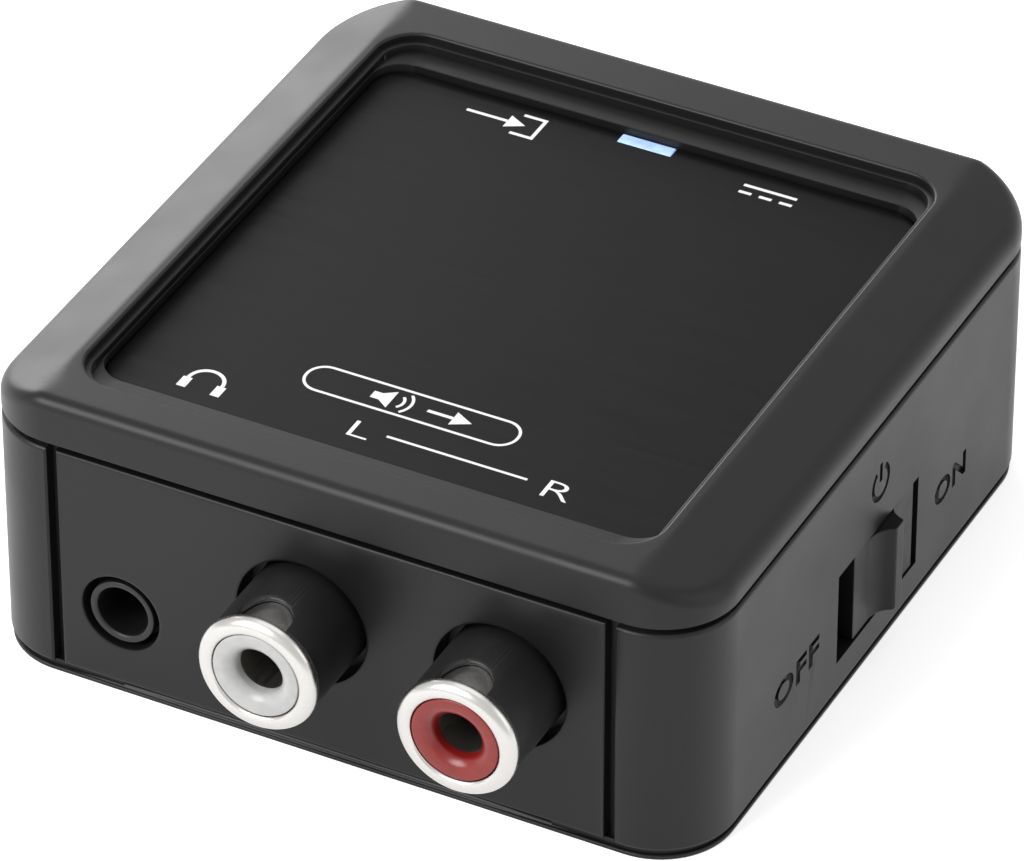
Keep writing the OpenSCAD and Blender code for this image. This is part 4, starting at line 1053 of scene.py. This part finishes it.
screws = grow("case_screws_set", grid_tree("screw_grid", case_screw, black_zinc),
              {"Width": screw_high.x - screw_low.x - 2 * HEAD_R,
               "Depth": screw_high.y - screw_low.y - 2 * HEAD_R, "Height": screw_low.z})
bpy.data.objects.remove(case_screw)
finish(screws, "case_screws_set", black_zinc, "case", ["case_screws"], smooth=35)

# %% [markdown]
# ## Parts that keep their solids
# The rest has the right shape already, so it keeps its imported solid. Where such a part can be seen from
# the back, a copy with softened edges replaces it; the others only get their finish.

# %% Softened copies
SOFTENED = (("input_shell", 0.05, tinned, "steel"), ("input_insulator", 0.04, black_pbt, "black_plastic"),
            ("inlet_body", 0.1, black_pbt, "black_plastic"), ("inlet_pin", 0.12, nickel, "nickel"),
            ("switch_frame", 0.06, tinned, "steel"), ("status_lamp", 0.06, white_plastic, "white_plastic"),
            ("voltage_regulator", 0.06, epoxy, "chip"), ("crystal", 0.2, tinned, "steel"),
            ("inductor", 0.15, ferrite, "ferrite"), ("electrolytic_capacitors", 0.15, drawn_can, "can"))
for node, width, material, slot in SOFTENED:
    copy = soften(solid_copy(node), width, 2, 35)
    clean(copy)
    finish(copy, node + "_finished", material, "case", [node], smooth=35)

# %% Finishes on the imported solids
KEPT = {"label_adhesive": tacky, "circuit_board": solder_mask, "phono_left_contact": tinned,
        "phono_right_contact": tinned, "phones_jack_springs": gilt, "input_contacts": gilt,
        "inlet_spring": gilt, "switch_base": phenolic, "switch_terminals": nickel,
        "switch_slider": black_pbt, "switch_bridge": gilt, "receiver_chip": epoxy, "converter_chip": epoxy,
        "amplifier_chip": epoxy, "chip_capacitors": ceramic, "chip_resistors": epoxy, "board_screws": tinned}
for node, material in KEPT.items():
    mesh = frame["nodes"][node].data
    mesh.materials.clear()
    mesh.materials.append(material)
print(len(KEPT), "solids keep their shape")

# %% [markdown]
# ## Floor, light and camera
# The picture is a product shot on white. The floor and the world are white to the camera and to
# reflections, while the lamps light the box at a plain level: a wide soft panel from the back left, which
# brightens the left slope, a weaker one from the right for the switch's wall, one overhead, and one in
# front that fills the panel and the jacks. Large panels give the wide, soft highlights of a light tent.

# %% Floor


def seen_directly(tree):
    """A node whose value is 1 for rays from the camera, off a gloss or through glass, and 0 for the rest."""
    rays = add(tree, "ShaderNodeLightPath")
    either = add(tree, "ShaderNodeMath", {"operation": "MAXIMUM"},
                 {0: (rays, "Is Camera Ray"), 1: (rays, "Is Glossy Ray")})
    return add(tree, "ShaderNodeMath", {"operation": "MAXIMUM"},
               {0: (either, "Value"), 1: (rays, "Is Transmission Ray")})


floor_mesh = bpy.data.meshes.new("floor")
SPAN = 3.0
floor_corners = [(x * SPAN, y * SPAN, 0) for x, y in ((-1, -1), (1, -1), (1, 1), (-1, 1))]
floor_mesh.from_pydata(floor_corners, [], [(0, 1, 2, 3)])
floor_obj = in_scene("floor", floor_mesh)
paper = bpy.data.materials.new("backdrop_paper")
paper.use_nodes = True
tree = paper.node_tree
tree.nodes.clear()
seen = seen_directly(tree)
matte = add(tree, "ShaderNodeBsdfDiffuse", {"Color": linear("#f4f4f4")})
glow = add(tree, "ShaderNodeEmission", {"Color": (1, 1, 1, 1), "Strength": 0.6})
lit = add(tree, "ShaderNodeAddShader", {}, {0: (matte, "BSDF"), 1: (glow, "Emission")})
mixed = add(tree, "ShaderNodeMixShader", {}, {"Fac": (seen, "Value"), 1: (matte, "BSDF"), 2: (lit, "Shader")})
add(tree, "ShaderNodeOutputMaterial", {}, {"Surface": (mixed, "Shader")})
floor_mesh.materials.append(paper)
print("floor", 2 * SPAN, "m wide")

# %% World
world = bpy.data.worlds.new("studio")
bpy.context.scene.world = world
world.use_nodes = True
tree = world.node_tree
tree.nodes.clear()
seen = seen_directly(tree)
ambient = add(tree, "ShaderNodeBackground", {"Color": (1, 1, 1, 1), "Strength": 0.4})
white = add(tree, "ShaderNodeBackground", {"Color": (1, 1, 1, 1), "Strength": 1.0})
mixed = add(tree, "ShaderNodeMixShader", {}, {"Fac": (seen, "Value"), 1: (ambient, "Background"),
                                              2: (white, "Background")})
add(tree, "ShaderNodeOutputWorld", {}, {"Surface": (mixed, "Shader")})
print("world", len(tree.nodes), "nodes")

# %% Lamps
AIM = Vector((0, 0, 0.01))
LAMPS = {"left_back_panel": ((-0.55, 0.45, 0.26), 0.5, 0.4, 3.0),
         "right_panel": ((0.55, 0.05, 0.25), 0.4, 0.4, 0.48),
         "top_panel": ((0.0, 0.1, 0.7), 0.6, 0.6, 0.8),
         "front_fill": ((-0.27, -0.5, 0.4), 0.4, 0.4, 4.4)}
for name, (place, width, height, watts) in LAMPS.items():
    data = bpy.data.lights.new(name, "AREA")
    data.shape = "RECTANGLE"
    data.size = width
    data.size_y = height
    data.energy = watts
    lamp = in_scene(name, data)
    lamp.location = place
    lamp.rotation_euler = (AIM - Vector(place)).to_track_quat("-Z", "Y").to_euler()
    print(name, width, "x", height, "m,", watts, "W")

# %% Camera
CAMERA_MM = (188.42, -368.00, 315.46)
AZIMUTH, ELEVATION = 27.17, 36.54
LENS_MM, SENSOR_MM = 280.86, 36.0
camera_data = bpy.data.cameras.new("camera")
camera_data.lens = LENS_MM
camera_data.sensor_width = SENSOR_MM
camera_data.sensor_fit = "HORIZONTAL"
camera_data.clip_start = 0.01
camera = in_scene("camera", camera_data)
camera.location = Vector(CAMERA_MM) * MM
camera.rotation_euler = (math.radians(90 - ELEVATION), 0, math.radians(AZIMUTH))
bpy.context.scene.camera = camera
bpy.context.scene.view_settings.view_transform = "Standard"
print("camera", LENS_MM, "mm lens,", round((Vector(CAMERA_MM) * MM).length, 3), "m away")
